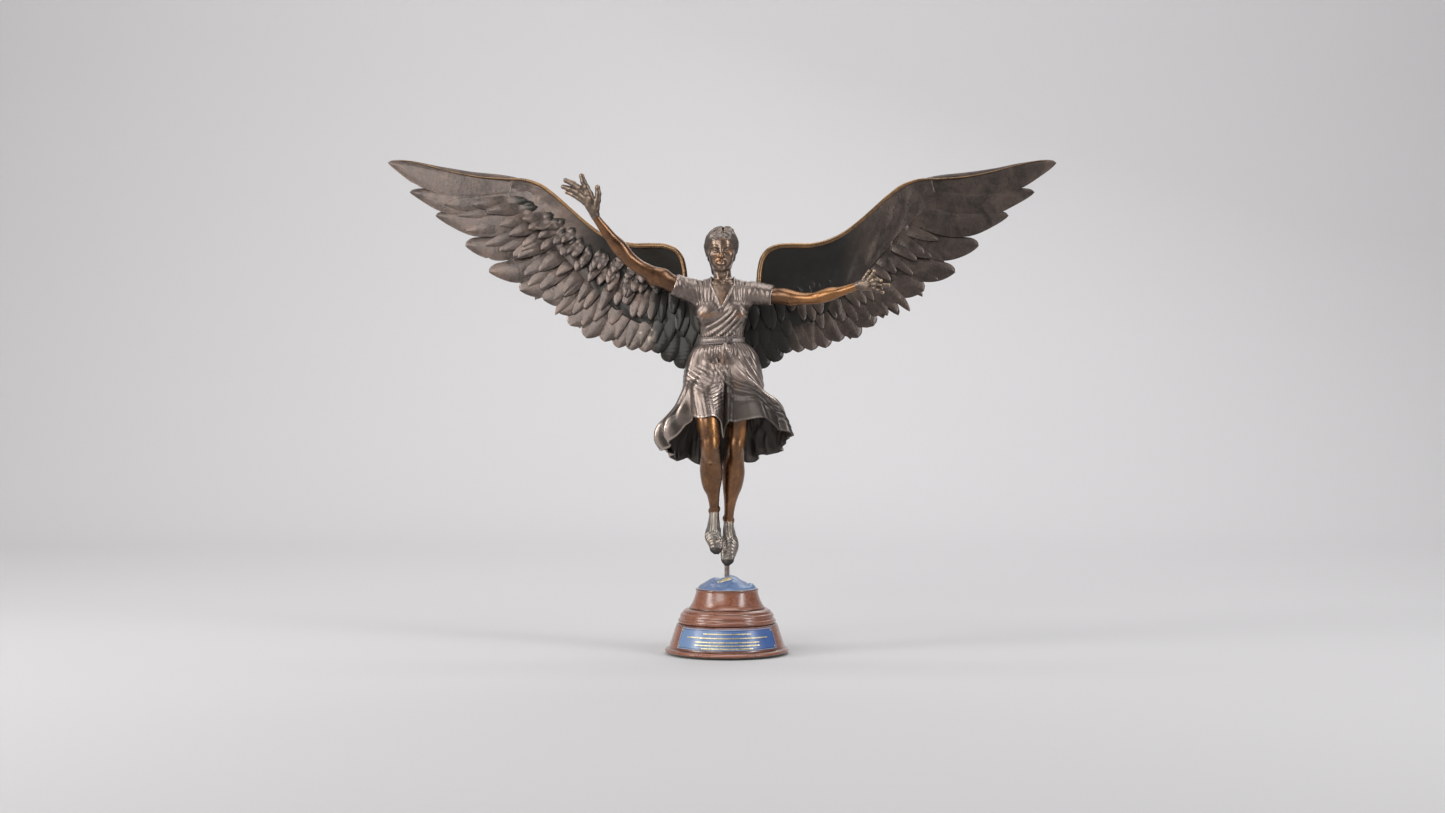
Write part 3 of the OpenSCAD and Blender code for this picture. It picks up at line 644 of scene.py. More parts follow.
def blade(plumage, spine, before, behind, depth, rng, thick=1.3, camber=0.8, tilt=5.0, blunt=0.35,
          rows=64, across=11, lumps=0.0, face=-1, covered=0.35, barb=0.13, taper=0.14,
          sunk=0.0):
    """A feather along spine, points (out, z). before and behind are its widths either side of the shaft.

    depth is its place in front of the sheet, face -1 makes its front side the carved one and +1 its back.
    taper and blunt are the shares of its length over which its two sides close in, and sunk buries its root.
    """
    line = spline(np.array(spine, float), rows)
    u = np.linspace(0, 1, rows)[:, None]
    ahead = np.gradient(line, axis=0)
    ahead /= np.linalg.norm(ahead, axis=1)[:, None]
    left = np.stack([-ahead[:, 1], ahead[:, 0]], 1)
    length = np.linalg.norm(np.diff(line, axis=0), axis=1).sum()
    v = np.sin(np.linspace(-math.pi / 2, math.pi / 2, across))[None, :]
    swell = (0.5 + 0.5 * ease(u, 0.0, 0.35)) * (0.2 + 0.8 * ease(u, 0.0, 0.07))
    front_end = np.clip((u - 1 + taper) / taper, 0, 1)
    back_end = np.clip((u - 1 + blunt) / blunt, 0, 1)
    lead = before * swell * np.sqrt(np.clip(1 - front_end**2.2, 0, 1)) + 0.12
    trail = behind * swell * np.clip(1 - back_end**2.0, 0, 1) ** 0.85 + 0.12
    for split in rng.uniform(0.4, 0.9, 1):
        trail = trail * (1 - rng.uniform(0.0, 0.12) * bell(u, split, 0.8 / length + 0.008))
    wave = 0.35 * np.sin(u * length / 5.5 + rng.uniform(0, 6)) * ease(u, 0.3, 0.8)
    offset = np.where(v > 0, v * (lead + 0.5 * wave), v * (trail + wave))
    at = line[:, None, :] + left[:, None, :] * offset[..., None]
    bow = camber * (1 - v**2) * ease(u, 0, 0.2)
    body = 0.5 * thick * (1 - 0.7 * v**2) * (1 - 0.45 * u) * (0.15 + 0.85 * ease(u, 0.0, 0.1)) + 0.12
    shaft = 2.6 * barb * bell(v, 0.0, 0.13) * (1 - 0.75 * u)
    barbs = (barb * np.sin((u * length + np.abs(offset) * 1.5) * 2 * math.pi / 2.9)
             * ease(np.abs(v), 0.12, 0.4))
    relief = lumps * rough_noise(at[..., 0], depth * 3 + at[..., 1] * 0, at[..., 1], 7.0, 0.3)
    middle_y = depth + cup(u) + face * bow + offset * math.tan(math.radians(tilt)) + rng.uniform(-0.15, 0.15)
    middle_y = middle_y - face * sunk * (1 - ease(u, 0.0, 0.3))
    near = middle_y + face * (body + shaft + barbs * (1 - 0.5 * u) + relief)
    far = middle_y - face * (body + 0.5 * shaft + 0.5 * barbs)
    front = np.stack([at[..., 0], near, at[..., 1]], -1)
    rear = np.stack([at[..., 0], far, at[..., 1]], -1)
    rings = np.concatenate([front, rear[:, ::-1]], 1)
    if face < 0:
        rings = rings[:, ::-1]
    rim = (ease(np.abs(v), 0.72, 1.0) * (0.35 + 0.65 * u) + 0.5 * bell(v, 0, 0.14) * (1 - u)
           + 0.8 * ease(u, 0.9, 1))
    worn = np.clip(rim * (0.55 + rng.uniform(0, 0.4)), 0, 1)
    # Painted shade: dark where the root lies under other feathers, and on the inner wing towards the body,
    # weaker on the side turned away.
    root_shade = np.clip(1 - u / max(covered, 0.01), 0, 1) ** 0.7 * 0.9 + 0 * v
    inner = 1 - ease(at[..., 0], 44, 68)
    near_shade = np.clip(root_shade + inner * (1 if face < 0 else 0.3), 0, 1)
    far_shade = np.clip(root_shade + inner * (0.3 if face < 0 else 1), 0, 1)
    sides = [near_shade, far_shade[:, ::-1]]
    if face < 0:
        sides = [far_shade, near_shade[:, ::-1]]
    plumage.loft(rings, np.concatenate([worn, worn[:, ::-1]], 1), np.concatenate(sides, 1))


def flow(out, z):
    """Direction of the plumage at a place, taken from the flight feathers around it."""
    total = np.zeros(2)
    for root, bend, tip, _, _ in FLIGHT:
        line = spline(np.array([root, bend, tip], float), 9)
        gap = np.linalg.norm(line - [out, z], axis=1)
        nearest = int(np.argmin(gap))
        step = line[min(nearest + 1, 8)] - line[max(nearest - 1, 0)]
        total += unit(step) / (gap[nearest] ** 3 + 8)
    return unit(total)


# Rows of coverts: where their roots lie, spacing, length, half-width, place in front, and how broken they are
COVERTS = [
    ([(22, 282), (44, 292), (66, 294), (92, 304), (116, 322), (138, 343), (160, 362)],
     7.4, 56, 5.6, -1.3, 0.1),
    ([(24, 290), (46, 301), (68, 302), (94, 312), (118, 331), (140, 351), (160, 368)],
     6.2, 42, 4.7, -2.0, 0.35),
    ([(50, 306), (70, 306), (96, 318), (120, 338), (140, 355)], 5.4, 28, 3.9, -2.7, 0.8),
    ([(58, 313), (78, 314), (98, 323), (118, 340), (132, 352)], 7.4, 22, 3.8, -2.9, 0.9)]
BROKEN = {-1: 1.0, 1: 0.12}


def flight_feathers(side):
    plumage = Plumage()
    rng = np.random.RandomState(31 if side > 0 else 32)
    for i, (root, bend, tip, before, behind) in enumerate(FLIGHT):
        root = np.array(root, float)
        if i > 4:
            root = root + 0.5 * (np.array(bend) - root)
        elif i > 1:
            root = root + 0.2 * (np.array(bend) - root)
        spine = [root, bend, tip]
        if i < 3:
            spine = [root - [30, 19 + i]] + spine
        blade(plumage, spine, before, behind, 0.2 * (i % 2), rng, thick=1.9, camber=0.9, tilt=4.5,
              blunt=0.42 if i < 6 else 0.26, rows=92, across=13,
              covered=0.01 if i < 3 else 0.1 if i < 5 else 0.5, barb=0.1)
    return plumage


def covert_rows(side, face):
    """The small feathers over the roots of the flight feathers, on the front or the back of the wing."""
    plumage = Plumage()
    rng = np.random.RandomState(50 + 2 * side + face)
    sharp = side < 0 and face < 0
    # Roots end inside the sheet: those in front go deep, those behind already start within it
    buried = 1.6 if sharp else 2.7 if face < 0 else 0.0
    for roots, spacing, length, width, depth, rough in COVERTS[:4 if sharp else 2]:
        broken = rough * (BROKEN[side] if face < 0 else 0.15)
        depth = depth * (1.0 if sharp else 0.6)
        line = np.array(roots, float)
        run = np.linalg.norm(np.diff(line, axis=0), axis=1).sum()
        for out, z in spline(line, int(run / spacing) + 1):
            out, z = np.array([out, z]) + rng.normal(0, 0.8 + 1.6 * broken, 2)
            heading = flow(out, z)
            angle = math.atan2(heading[1], heading[0]) + rng.normal(0, 0.04 + 0.22 * broken)
            if not sharp and out > 136:
                continue
            reach = length * rng.uniform(0.8, 1.15) * (0.8 + 0.35 * ease(out, 60, 190)) * (1 - 0.15 * broken)
            ahead = np.array([math.cos(angle), math.sin(angle)])
            later = flow(*(np.array([out, z]) + ahead * reach))
            tip = np.array([out, z]) + 0.5 * reach * ahead + 0.5 * reach * later
            wide = width * rng.uniform(0.85, 1.2)
            blade(plumage, [(out, z), (np.array([out, z]) + tip) / 2 + 0.02 * reach * ahead, tip], wide,
                  wide * 1.1, -face * depth + 0.5 * broken * rng.uniform(-1, 1), rng,
                  thick=0.8 + 1.0 * broken, camber=0.25 + 0.8 * broken * rng.uniform(0.3, 1.2),
                  tilt=rng.normal(4 if sharp else 2.2, 1.2 + 6 * broken), blunt=0.6, taper=0.5, rows=34,
                  across=9, lumps=0.4 * broken, face=face, covered=0.3 if sharp else 0.01, barb=0.09,
                  sunk=buried)
    return plumage


def rim_width(out):
    return 2.3 - 0.7 * ease(out, 60, 120) - 1.0 * ease(out, 140, 190)


def wing_frame():
    """The rolled leading edge, from which the smooth hollow sheet of wing_sheet hangs over the feathers'
    roots.
    """
    plumage = Plumage()
    rows = 170
    line = spline(np.array(EDGE, float), rows)
    ahead = np.gradient(line, axis=0)
    ahead /= np.linalg.norm(ahead, axis=1)[:, None]
    inward = np.stack([ahead[:, 1], -ahead[:, 0]], 1)
    wide = rim_width(line[:, 0]) * (1 - 0.5 * ease(line[:, 0], 200, 274))
    around = np.linspace(0, 2 * math.pi, 25)[:-1] + math.pi / 24
    rings = np.zeros((rows, 24, 3))
    centre = line + inward * wide[:, None]
    for k in range(2):
        rings[..., 2 * k] = centre[:, None, k] - inward[:, None, k] * (wide[:, None] * np.cos(around))
    rings[..., 1] = -0.6 + (wide[:, None] * 0.9 + 0.3) * np.sin(around)[None, :]
    rings += 0.2 * noise(rings[..., 0], rings[..., 1], rings[..., 2], 9.0)[..., None] * [0, 1, 0]
    worn = 0.25 + 0.75 * np.clip(np.cos(around - 0.7), 0, 1)[None, :] * (1 - 0.6 * ease(line[:, :1], 70, 200))
    shaded = np.clip(-np.cos(around), 0, 1)[None, :] * 0.5
    plumage.loft(rings[:, ::-1], worn[:, ::-1], shaded[:, ::-1])
    return plumage


def wing_sheet():
    """The smooth hollow under the rim, with painted shade that darkens it towards the shoulder."""
    plumage = Plumage()
    line = spline(np.array(EDGE, float), 170)
    top = line[:110] + [0, -1.2]
    low = [(12, 250), (30, 256), (52, 260), (78, 270), (100, 288), (124, 314), (148, 342), (176, 366)]
    foot = spline(np.array(low, float), len(top))
    share = np.linspace(0, 1, 41)[None, :, None]
    sheet = top[:, None, :] * (1 - share) + foot[:, None, :] * share
    s = share[..., 0]
    hollow = 3.2 * np.sin(math.pi * np.clip(s * 1.15, 0, 1)) ** 1.2 * (1 - 0.7 * ease(sheet[..., 0], 80, 150))
    front = -1.7 + hollow + 0.7 * s + 0.45 * noise(sheet[..., 0], sheet[..., 1], sheet[..., 1], 16.0)
    ribs = np.cos((sheet[..., 0] * 0.8 - sheet[..., 1] * 0.25) * 2 * math.pi / 9.5) * ease(s, 0.12, 0.5)
    front = front - 0.22 * ribs + 0.12 * rough_noise(sheet[..., 0], sheet[..., 1], sheet[..., 1], 5.0)
    sunk = ease(sheet[..., 0], 122, 168)
    front = front + 1.6 * sunk
    front_side = np.stack([sheet[..., 0], front, sheet[..., 1]], -1)
    back_side = np.stack([sheet[..., 0], front + 2.2 - 1.6 * sunk, sheet[..., 1]], -1)
    # Painted shade: darkest near the shoulder, weaker on the back of the sheet.
    dark = 0.95 - 0.75 * ease(sheet[..., 0], 70, 135)
    plumage.loft(np.concatenate([front_side, back_side[:, ::-1]], 1), 0.0,
                 np.concatenate([dark, 0.4 * dark[:, ::-1]], 1))
    return plumage


def wing(side):
    name = "left" if side > 0 else "right"
    tones = WING_TONES[side]
    flight = flight_feathers(side).mesh(name + "_wing_flight_feathers", side)
    place(flight, tones, (name + "_wing",))
    place(covert_rows(side, -1).mesh(name + "_wing_coverts", side), tones, ())
    place(covert_rows(side, 1).mesh(name + "_wing_back_coverts", side), tones, ())
    place(wing_frame().mesh(name + "_wing_leading_edge", side), RIM, ())
    place(wing_sheet().mesh(name + "_wing_hollow", side), tones, ())


# The figure's left wing takes a darker copy of the wing bronze: painted shade for the wing away from the key
# lamp.
WING_TONES = {
    -1: bronze("bronze_wing_right", [(0.05, 0.041, 0.037), (0.112, 0.087, 0.077), (0.19, 0.137, 0.112)],
               (0.3, 0.25, 0.215), (0.012, 0.013, 0.011), 0.34, 0.5, 0.25, 13.0, (0.55, 0.47, 0.36)),
    1: bronze("bronze_wing_left", [(0.04, 0.034, 0.03), (0.075, 0.058, 0.05), (0.115, 0.082, 0.066)],
              (0.2, 0.15, 0.12), (0.016, 0.016, 0.015), 0.32, 0.7, 0.2, 18.0)}
RIM = bronze("bronze_wing_rim", [(0.1, 0.06, 0.035), (0.2, 0.115, 0.055), (0.3, 0.17, 0.07)],
             (0.62, 0.36, 0.13), (0.02, 0.018, 0.016), 0.22, 0.35)
for wing_side in (-1, 1):
    wing(wing_side)


# ---------------------------------------------------------------- turned base
def rounded(profile, radius):
    """A profile with each inner corner rounded off, and its long runs divided."""
    p = np.array(profile, float)
    out = [p[0]]
    for before, corner, after in zip(p[:-2], p[1:-1], p[2:]):
        near = min(radius, 0.45 * np.linalg.norm(corner - before), 0.45 * np.linalg.norm(after - corner))
        start = corner + near * unit(before - corner)
        stop = corner + near * unit(after - corner)
        for t in np.linspace(0, 1, 6):
            out.append((1 - t) ** 2 * start + 2 * t * (1 - t) * corner + t * t * stop)
    out.append(p[-1])
    fine = [out[0]]
    for q in out[1:]:
        count = max(1, int(np.linalg.norm(q - fine[-1]) / 0.9))
        first = fine[-1]
        fine += [first + (q - first) * k / count for k in range(1, count + 1)]
    return np.array(fine)


def lathe(profile, around=240):
    """Points and outward faces of a solid turned from a closed profile of (radius, z), none on the axis."""
    p = np.asarray(profile)
    angle = np.linspace(0, 2 * math.pi, around + 1)[:-1]
    rings = np.stack([p[:, :1] * np.cos(angle), p[:, :1] * np.sin(angle), np.repeat(p[:, 1:], around, 1)], -1)
    faces = grid_faces(len(p), around, True)
    points = rings.reshape(-1, 3)
    last = grid_faces(2, around, True)
    last = np.where(last >= around, last - around, last + (len(p) - 1) * around)
    faces = np.concatenate([faces, last])
    return points, outward(points, faces)


def turned(name, node, shares, material, radius=0.8, bore=2.4, dark=()):
    """A turned piece in its node's place. shares are (radius, height) of the node's own size, bottom up."""
    low, high = corners(node)
    reach, tall = high[0], high[2] - low[2]
    outer = rounded([(bore, low[2])] + [(r * reach, low[2] + h * tall) for r, h in shares]
                    + [(bore, high[2])], radius)
    outer[:, 1] = np.clip(outer[:, 1], low[2], high[2])
    points, faces = lathe(outer)
    marks = wear_marks(points, faces, 5, 1.6)
    r = np.hypot(points[:, 0], points[:, 1])
    for at_r, at_h in dark:
        near = bell(r, at_r * reach, 0.9) * bell(points[:, 2], low[2] + at_h * tall, 0.9)
        marks["grime"] = np.maximum(marks["grime"], near)
    place(add_mesh(name, points, faces, marks), material, (node,))


PLINTH = [(0.975, 0), (1, 0.05), (1, 0.085), (0.975, 0.14), (0.945, 0.165), (0.938, 0.18), (0.932, 0.205),
          (0.815, 0.955), (0.792, 1)]
RING = [(0.975, 0), (0.99, 0.03), (1, 0.08), (1, 0.22), (0.985, 0.3), (0.964, 0.34), (0.958, 0.46),
        (0.958, 0.56), (0.944, 0.66), (0.914, 0.72), (0.9, 0.83), (0.872, 0.92), (0.82, 1)]
NECK = [(1, 0), (1, 0.06), (0.95, 0.16), (0.9, 0.33), (0.855, 0.54), (0.822, 0.75), (0.809, 0.89),
        (0.828, 0.94), (0.816, 1)]


def ground(x, y):
    """Height of the mound in millimetres above its foot: a wave that climbs to the figure's left."""
    low, high = corners("base_cap")
    wide, tall = high[0], high[2] - low[2]
    crest = tall * (0.98 * np.exp(-((x - 3.5) / 11.5) ** 2 - ((y + 1.0) / 15.5) ** 2))
    shoulder = tall * 0.66 * np.exp(-((x + 10) / 11.5) ** 2 - ((y - 1.5) / 14.0) ** 2)
    bump = tall * 0.44 * np.exp(-((x - 19.6) / 4.6) ** 2 - ((y + 3.0) / 9.5) ** 2)
    h = np.maximum(np.maximum(crest, shoulder), bump) + 0.35 * np.minimum(crest, shoulder)
    along = x * 0.8 + 0.35 * np.abs(y) ** 1.12
    ripple = (0.30 * np.sin(along / 1.55 + 0.8 * noise(x, y, x * 0, 9.0))
              + 0.22 * rough_noise(x, y, y * 0, 4.5))
    edge = np.clip(1 - (np.hypot(x, y) / (wide * 0.985)) ** 13, 0, 1)
    return np.clip((1.3 + 0.92 * h * 0.9 + ripple) * edge, 0.05, tall * 0.985)


def mound():
    low, high = corners("base_cap")
    rows, around = 86, 240
    angle = np.linspace(0, 2 * math.pi, around + 1)[:-1]
    r = np.linspace(2.35, high[0] - 0.05, rows)[:, None]
    x, y = r * np.cos(angle), r * np.sin(angle)
    top = np.stack([x, y, low[2] + ground(x, y)], -1)
    foot = np.stack([x[[-1, 0]], y[[-1, 0]], np.full((2, around), low[2])], -1)
    rings = np.concatenate([top, foot])
    points = rings.reshape(-1, 3)
    faces = grid_faces(len(rings), around, True)
    last = grid_faces(2, around, True)
    last = np.where(last >= around, last - around, last + (len(rings) - 1) * around)
    faces = outward(points, np.concatenate([faces, last]))
    marks = wear_marks(points, faces, 5, 0.9)
    place(add_mesh("base_mound", points, faces, marks), MOUND, ("base_cap",))


def crest():
    """A painted highlight on the mound's breaking wave, built as raised gilt: one broad streak with ragged
    ends, and small flecks.
    """
    low, _ = corners("base_cap")
    rng = np.random.RandomState(5)
    parts_points, parts_faces, count = [], [], 0
    highlight_streaks = [((-8.0, -7.5), (-2.5, -8.6), (3.6, -6.4), 1.5),
               ((-5.5, -10.2), (-1.0, -10.6), (4.0, -8.6), 0.7), ((11, 3), (6, 8), (-2, 9), 1.3),
               ((-12, 7), (-7, 10.5), (-1, 12), 0.8)]
    for a, b, c, wide in highlight_streaks:
        line = spline(np.array([a, b, c], float), 40)
        u = np.linspace(0, 1, 40)[:, None]
        ahead = np.gradient(line, axis=0)
        ahead /= np.linalg.norm(ahead, axis=1)[:, None]
        across = np.stack([-ahead[:, 1], ahead[:, 0]], 1)
        v = np.linspace(-1, 1, 9)[None, :]
        ragged = 0.75 + 0.4 * np.interp(u, np.linspace(0, 1, 9), rng.uniform(-0.6, 0.9, 9))
        half = wide * np.sqrt(np.clip(1 - (2 * u - 1) ** 4, 0, 1)) * ragged + 0.05
        at = line[:, None, :] + across[:, None, :] * (v * half)[..., None]
        height = low[2] + ground(at[..., 0], at[..., 1])
        thick = 0.35 * (1 - v**2) * np.sqrt(np.clip(1 - (2 * u - 1) ** 4, 0, 1)) + 0.03
        top = np.stack([at[..., 0], at[..., 1], height + thick], -1)
        under = np.stack([at[..., 0], at[..., 1], height - 0.6], -1)[:, ::-1]
        rings = np.concatenate([top, under], 1)
        faces = [grid_faces(40, 18, True)]
        j = np.arange(8)
        cap = np.stack([j, j + 1, 16 - j, 17 - j], 1)
        faces += [cap[:, ::-1], cap + 39 * 18]
        points = rings.reshape(-1, 3)
        parts_points.append(points)
        parts_faces.append(outward(points, np.concatenate(faces)) + count)
        count += len(points)
    points, faces = np.concatenate(parts_points), np.concatenate(parts_faces)
    place(add_mesh("mound_painted_highlight", points, faces, wear_marks(points, faces, 3)), HIGHLIGHT_GILT, ())


def plate():
    """The curved name plate: a thin wrap on the plinth's slope, with a raised rim."""
    low, high = corners("name_plate")
    plinth_low, plinth_high = corners("base_plinth")
    reach, tall = plinth_high[0], plinth_high[2] - plinth_low[2]
    z_low, z_high = low[2] + 0.1, high[2] - 0.1
    foot_r = 0.932 * reach
    foot_z = plinth_low[2] + 0.205 * tall
    head_r = 0.815 * reach
    head_z = plinth_low[2] + 0.955 * tall
    half = math.radians(58)
    rows, columns = 70, 260
    v = np.linspace(0, 1, rows)[:, None]
    angle = np.linspace(-half, half, columns)[None, :]
    z = z_low + (z_high - z_low) * v + 0 * angle
    r = foot_r + (head_r - foot_r) * (z - foot_z) / (head_z - foot_z)
    from_edge = np.minimum(np.minimum(v, 1 - v) * (z_high - z_low), (half - np.abs(angle)) * reach * 0.87)
    rim = 0.28 * ease(from_edge, 0.0, 0.25) * (1 - ease(from_edge, 0.75, 1.05))
    swell = 0.42 + 0.3 * ease(from_edge, 0, 0.3) + rim + 0 * angle
    outer = np.stack([(r + swell) * np.sin(angle), -(r + swell) * np.cos(angle), z], -1)
    inner = np.stack([(r - 0.5) * np.sin(angle), -(r - 0.5) * np.cos(angle), z], -1)
    points = np.concatenate([outer.reshape(-1, 3), inner.reshape(-1, 3)])
    sheet = grid_faces(rows, columns, False)
    back = sheet[:, ::-1] + rows * columns
    j = np.arange(columns - 1)
    i = np.arange(rows - 1)
    half_count = rows * columns
    bottom = np.stack([j + 1, j, j + half_count, j + 1 + half_count], 1)
    top = np.stack([j, j + 1, j + 1 + half_count, j + half_count], 1) + (rows - 1) * columns
    left = np.stack([i * columns, (i + 1) * columns, (i + 1) * columns + half_count,
                     i * columns + half_count], 1)
    right = np.stack([(i + 1) * columns, i * columns, i * columns + half_count,
                      (i + 1) * columns + half_count], 1)
    right = right + columns - 1
    faces = np.concatenate([sheet, back, bottom, top, left, right])
    faces = outward(points, faces)
    rim_mark = rim / 0.28
    marks = {"wear": np.concatenate([rim_mark.ravel(), 0 * rim_mark.ravel()]),
             "grime": np.concatenate([(bell(from_edge, 1.1, 0.35) + 0 * angle).ravel(),
                                      0 * rim_mark.ravel()])}
    place(add_mesh("name_plate_enamel", points, faces, marks), PLATE, ("name_plate",))


turned("plinth_turned", "base_plinth", PLINTH, WOOD, 0.9, dark=((0.945, 0.17), (0.8, 1)))
turned("ring_turned", "base_ring", RING, WOOD, 0.8, dark=((0.935, 0.43), (0.88, 0.8), (0.98, 0)))
turned("neck_turned", "base_neck", NECK, WOOD, 1.4, dark=((1, 0.02), (0.82, 1)))
mound()
crest()
plate()


# ---------------------------------------------------------------- figure
# Upright forms are rows [z, x, y, half-width, half-depth]; limbs are rows [x, y, z, radius].
TORSO = [[244, -4, -1, 16.2, 11.2], [247, -4, -1, 16.6, 11.6], [253, -4, -1, 16.9, 11.8],
         [258, -4, -1.5, 17.7, 12.2], [264, -4, -2.0, 19.2, 12.6], [270, -4, -2.5, 20.6, 12.9],
         [276, -4, -2.8, 21.6, 12.7], [282, -4, -2.8, 22.6, 12.2], [288, -4, -2.5, 23.6, 11.4],
         [292.5, -4, -2.2, 23.4, 10.4], [296, -3.9, -1.8, 20.5, 9.2], [298.4, -3.8, -1.4, 15.0, 8.4],
         [300.4, -3.7, -1.2, 9.6, 7.8]]
NECK_LINE = [[288, -3.6, -0.6, 10.5, 7.4], [294, -3.6, -0.4, 10.2, 7.6], [298, -3.6, -0.5, 8.3, 7.5],
             [301.5, -3.6, -0.9, 7.1, 7.3], [306, -3.8, -1.6, 6.9, 7.4], [312, -4.2, -2.6, 7.2, 7.8],
             [318, -4.4, -3.0, 7.4, 8.0]]
RIGHT_SLEEVE = [[-19, -2.6, 286.5, 10.2], [-27, -3.2, 289.6, 10.2], [-34, -4.4, 291.6, 9.3],
                [-42.4, -6.4, 294.6, 8.4]]
LEFT_SLEEVE = [[11, -2.6, 285.5, 10.2], [19, -3.4, 287.6, 10.0], [27, -4.8, 287, 9.2], [36.4, -7, 285.6, 8.2]]
RIGHT_ARM = [[-30, -3.6, 290.6, 7.4], [-38, -5.4, 293, 7.3], [-46, -7.6, 296.4, 7.0], [-54, -10, 300, 6.5],
             [-62, -12.4, 304, 6.0], [-70, -14.6, 308.4, 5.5], [-75.5, -16.4, 312.4, 5.6],
             [-80, -18.2, 316.8, 5.8], [-85, -20.4, 322.6, 5.5], [-91, -23, 329.8, 4.8],
             [-97, -26, 337.6, 4.0], [-101.5, -28.4, 343.6, 3.3], [-105.2, -30.4, 348.8, 3.0]]
LEFT_ARM = [[24, -4.4, 287.4, 7.2], [32, -6, 286.4, 6.9], [40, -8.2, 285.2, 6.2], [48, -10.6, 284, 5.7],
            [56, -13.2, 283.2, 5.2], [63, -15.4, 282.8, 4.8], [68, -17, 282.9, 4.8], [73, -18.4, 283.6, 4.9],
            [79, -20.2, 285, 4.6], [86, -22.2, 286.9, 4.1], [93, -24.2, 289, 3.6], [99, -25.8, 291.1, 3.2],
            [104, -27.3, 292.8, 3.1]]
RIGHT_LEG = [[108, -10.3, 1.8, 3.7, 5.0], [113, -10.2, 1.9, 3.8, 4.7], [118, -10.3, 1.1, 4.0, 4.7],
             [127, -11.1, -1.0, 5.2, 5.7], [137, -12.0, -3.8, 7.3, 7.6], [147, -12.8, -6.9, 8.6, 8.9],
             [156, -13.1, -10.6, 7.9, 8.2], [163, -13.3, -13.4, 7.7, 8.0], [170, -13.6, -15.4, 8.0, 8.3],
             [182, -14.8, -15.5, 9.2, 9.6], [194, -16, -12.8, 10.6, 10.8], [206, -16.8, -9, 11.8, 11.8],
             [222, -17, -3, 12, 12.2]]
LEFT_LEG = [[100, 1.4, 8.8, 4.0, 6.0], [105, 1.2, 9, 3.8, 4.9], [111, 1.6, 8.7, 3.9, 4.6],
            [120, 2.6, 8.6, 4.9, 5.5], [131, 3.9, 9, 7.2, 7.5], [143, 5, 8.8, 8.8, 9.2],
            [154, 5.8, 7.1, 7.9, 8.4], [162, 6.5, 5.6, 7.6, 8.0], [169, 7.1, 4.2, 7.8, 8.3],
            [181, 8.1, 2.9, 8.9, 9.4], [197, 9, 1.5, 11.0, 11.4], [222, 9, 0, 12, 12.2]]


def limb_at(column, z):
    return np.moveaxis(curve_at(column, z), -1, 0)


def bodice_folds(x, y, z):
    """Cloth relief of the bodice, in millimetres: pleats from the shoulders, a wrap across the waist."""
    front = ease(-y, -2.0, 5.0)
    wob = 0.5 * noise(x, y, z, 9.0)
    spread = 1 + 0.034 * np.clip(z - 273, 0, 30)
    fan = (x + 16.8) / spread + 0.25 * wob
    pleats = (0.3 * np.cos(fan * 2 * math.pi / 2.1) * bell(x, -18, 8.5) * ease(z, 274.5, 283)
              * ease(-x, 7.5, 10.5))
    fan = (x - 10.6) / spread - 0.3 * wob
    pleats = (pleats
              + 0.3 * np.cos(fan * 2 * math.pi / 2.6) * bell(x, 12, 8.0) * ease(z, 276, 284)
              * ease(x, 0, 4))
    across = 0.61 * (x - 10.4) - 0.79 * (z - 272) + 0.012 * (x + 4) ** 2 + wob
    along = -0.79 * (x - 10.4) - 0.61 * (z - 272)
    wrap = np.cos(across * 2 * math.pi / 4.3) * ease(along, 0, 6) * (1 - ease(along, 27, 34))
    wrap = 0.5 * wrap * ease(across, -9, -4) * (1 - ease(across, 9, 14))
    low = 0.26 * np.cos(np.arctan2(x + 4, -y - 1) * 34 + 3 * wob) * (1 - ease(z, 252, 260))
    tug = (0.35 * np.sin((z + 0.7 * np.abs(x + 4) + wob * 2) * 2 * math.pi / 5.2) * bell(z, 268, 7)
           * ease(np.abs(x + 4), 13, 18))
    swell = 0.35 * rough_noise(x, y, z, 11.0)
    back = ease(y, -1.0, 6.0)
    drape = (0.6 * np.cos((np.abs(x + 4) * 0.75 + (z - 262) * 0.5) * 2 * math.pi / 7.5 + wob * 3)
             * bell(z, 266, 14))
    return front * (pleats + wrap) + low + tug + swell * 0.6 + back * drape * 0.6


def lapel(x, z):
    """How far a point lies inside the open neck, seen from the front (negative inside)."""
    middle_x = -4.6 + 0.055 * (z - 276.5)
    half = np.minimum(0.2 + 0.43 * (z - 276.5), 8.4)
    return (np.abs(x - middle_x) - half) * 0.9


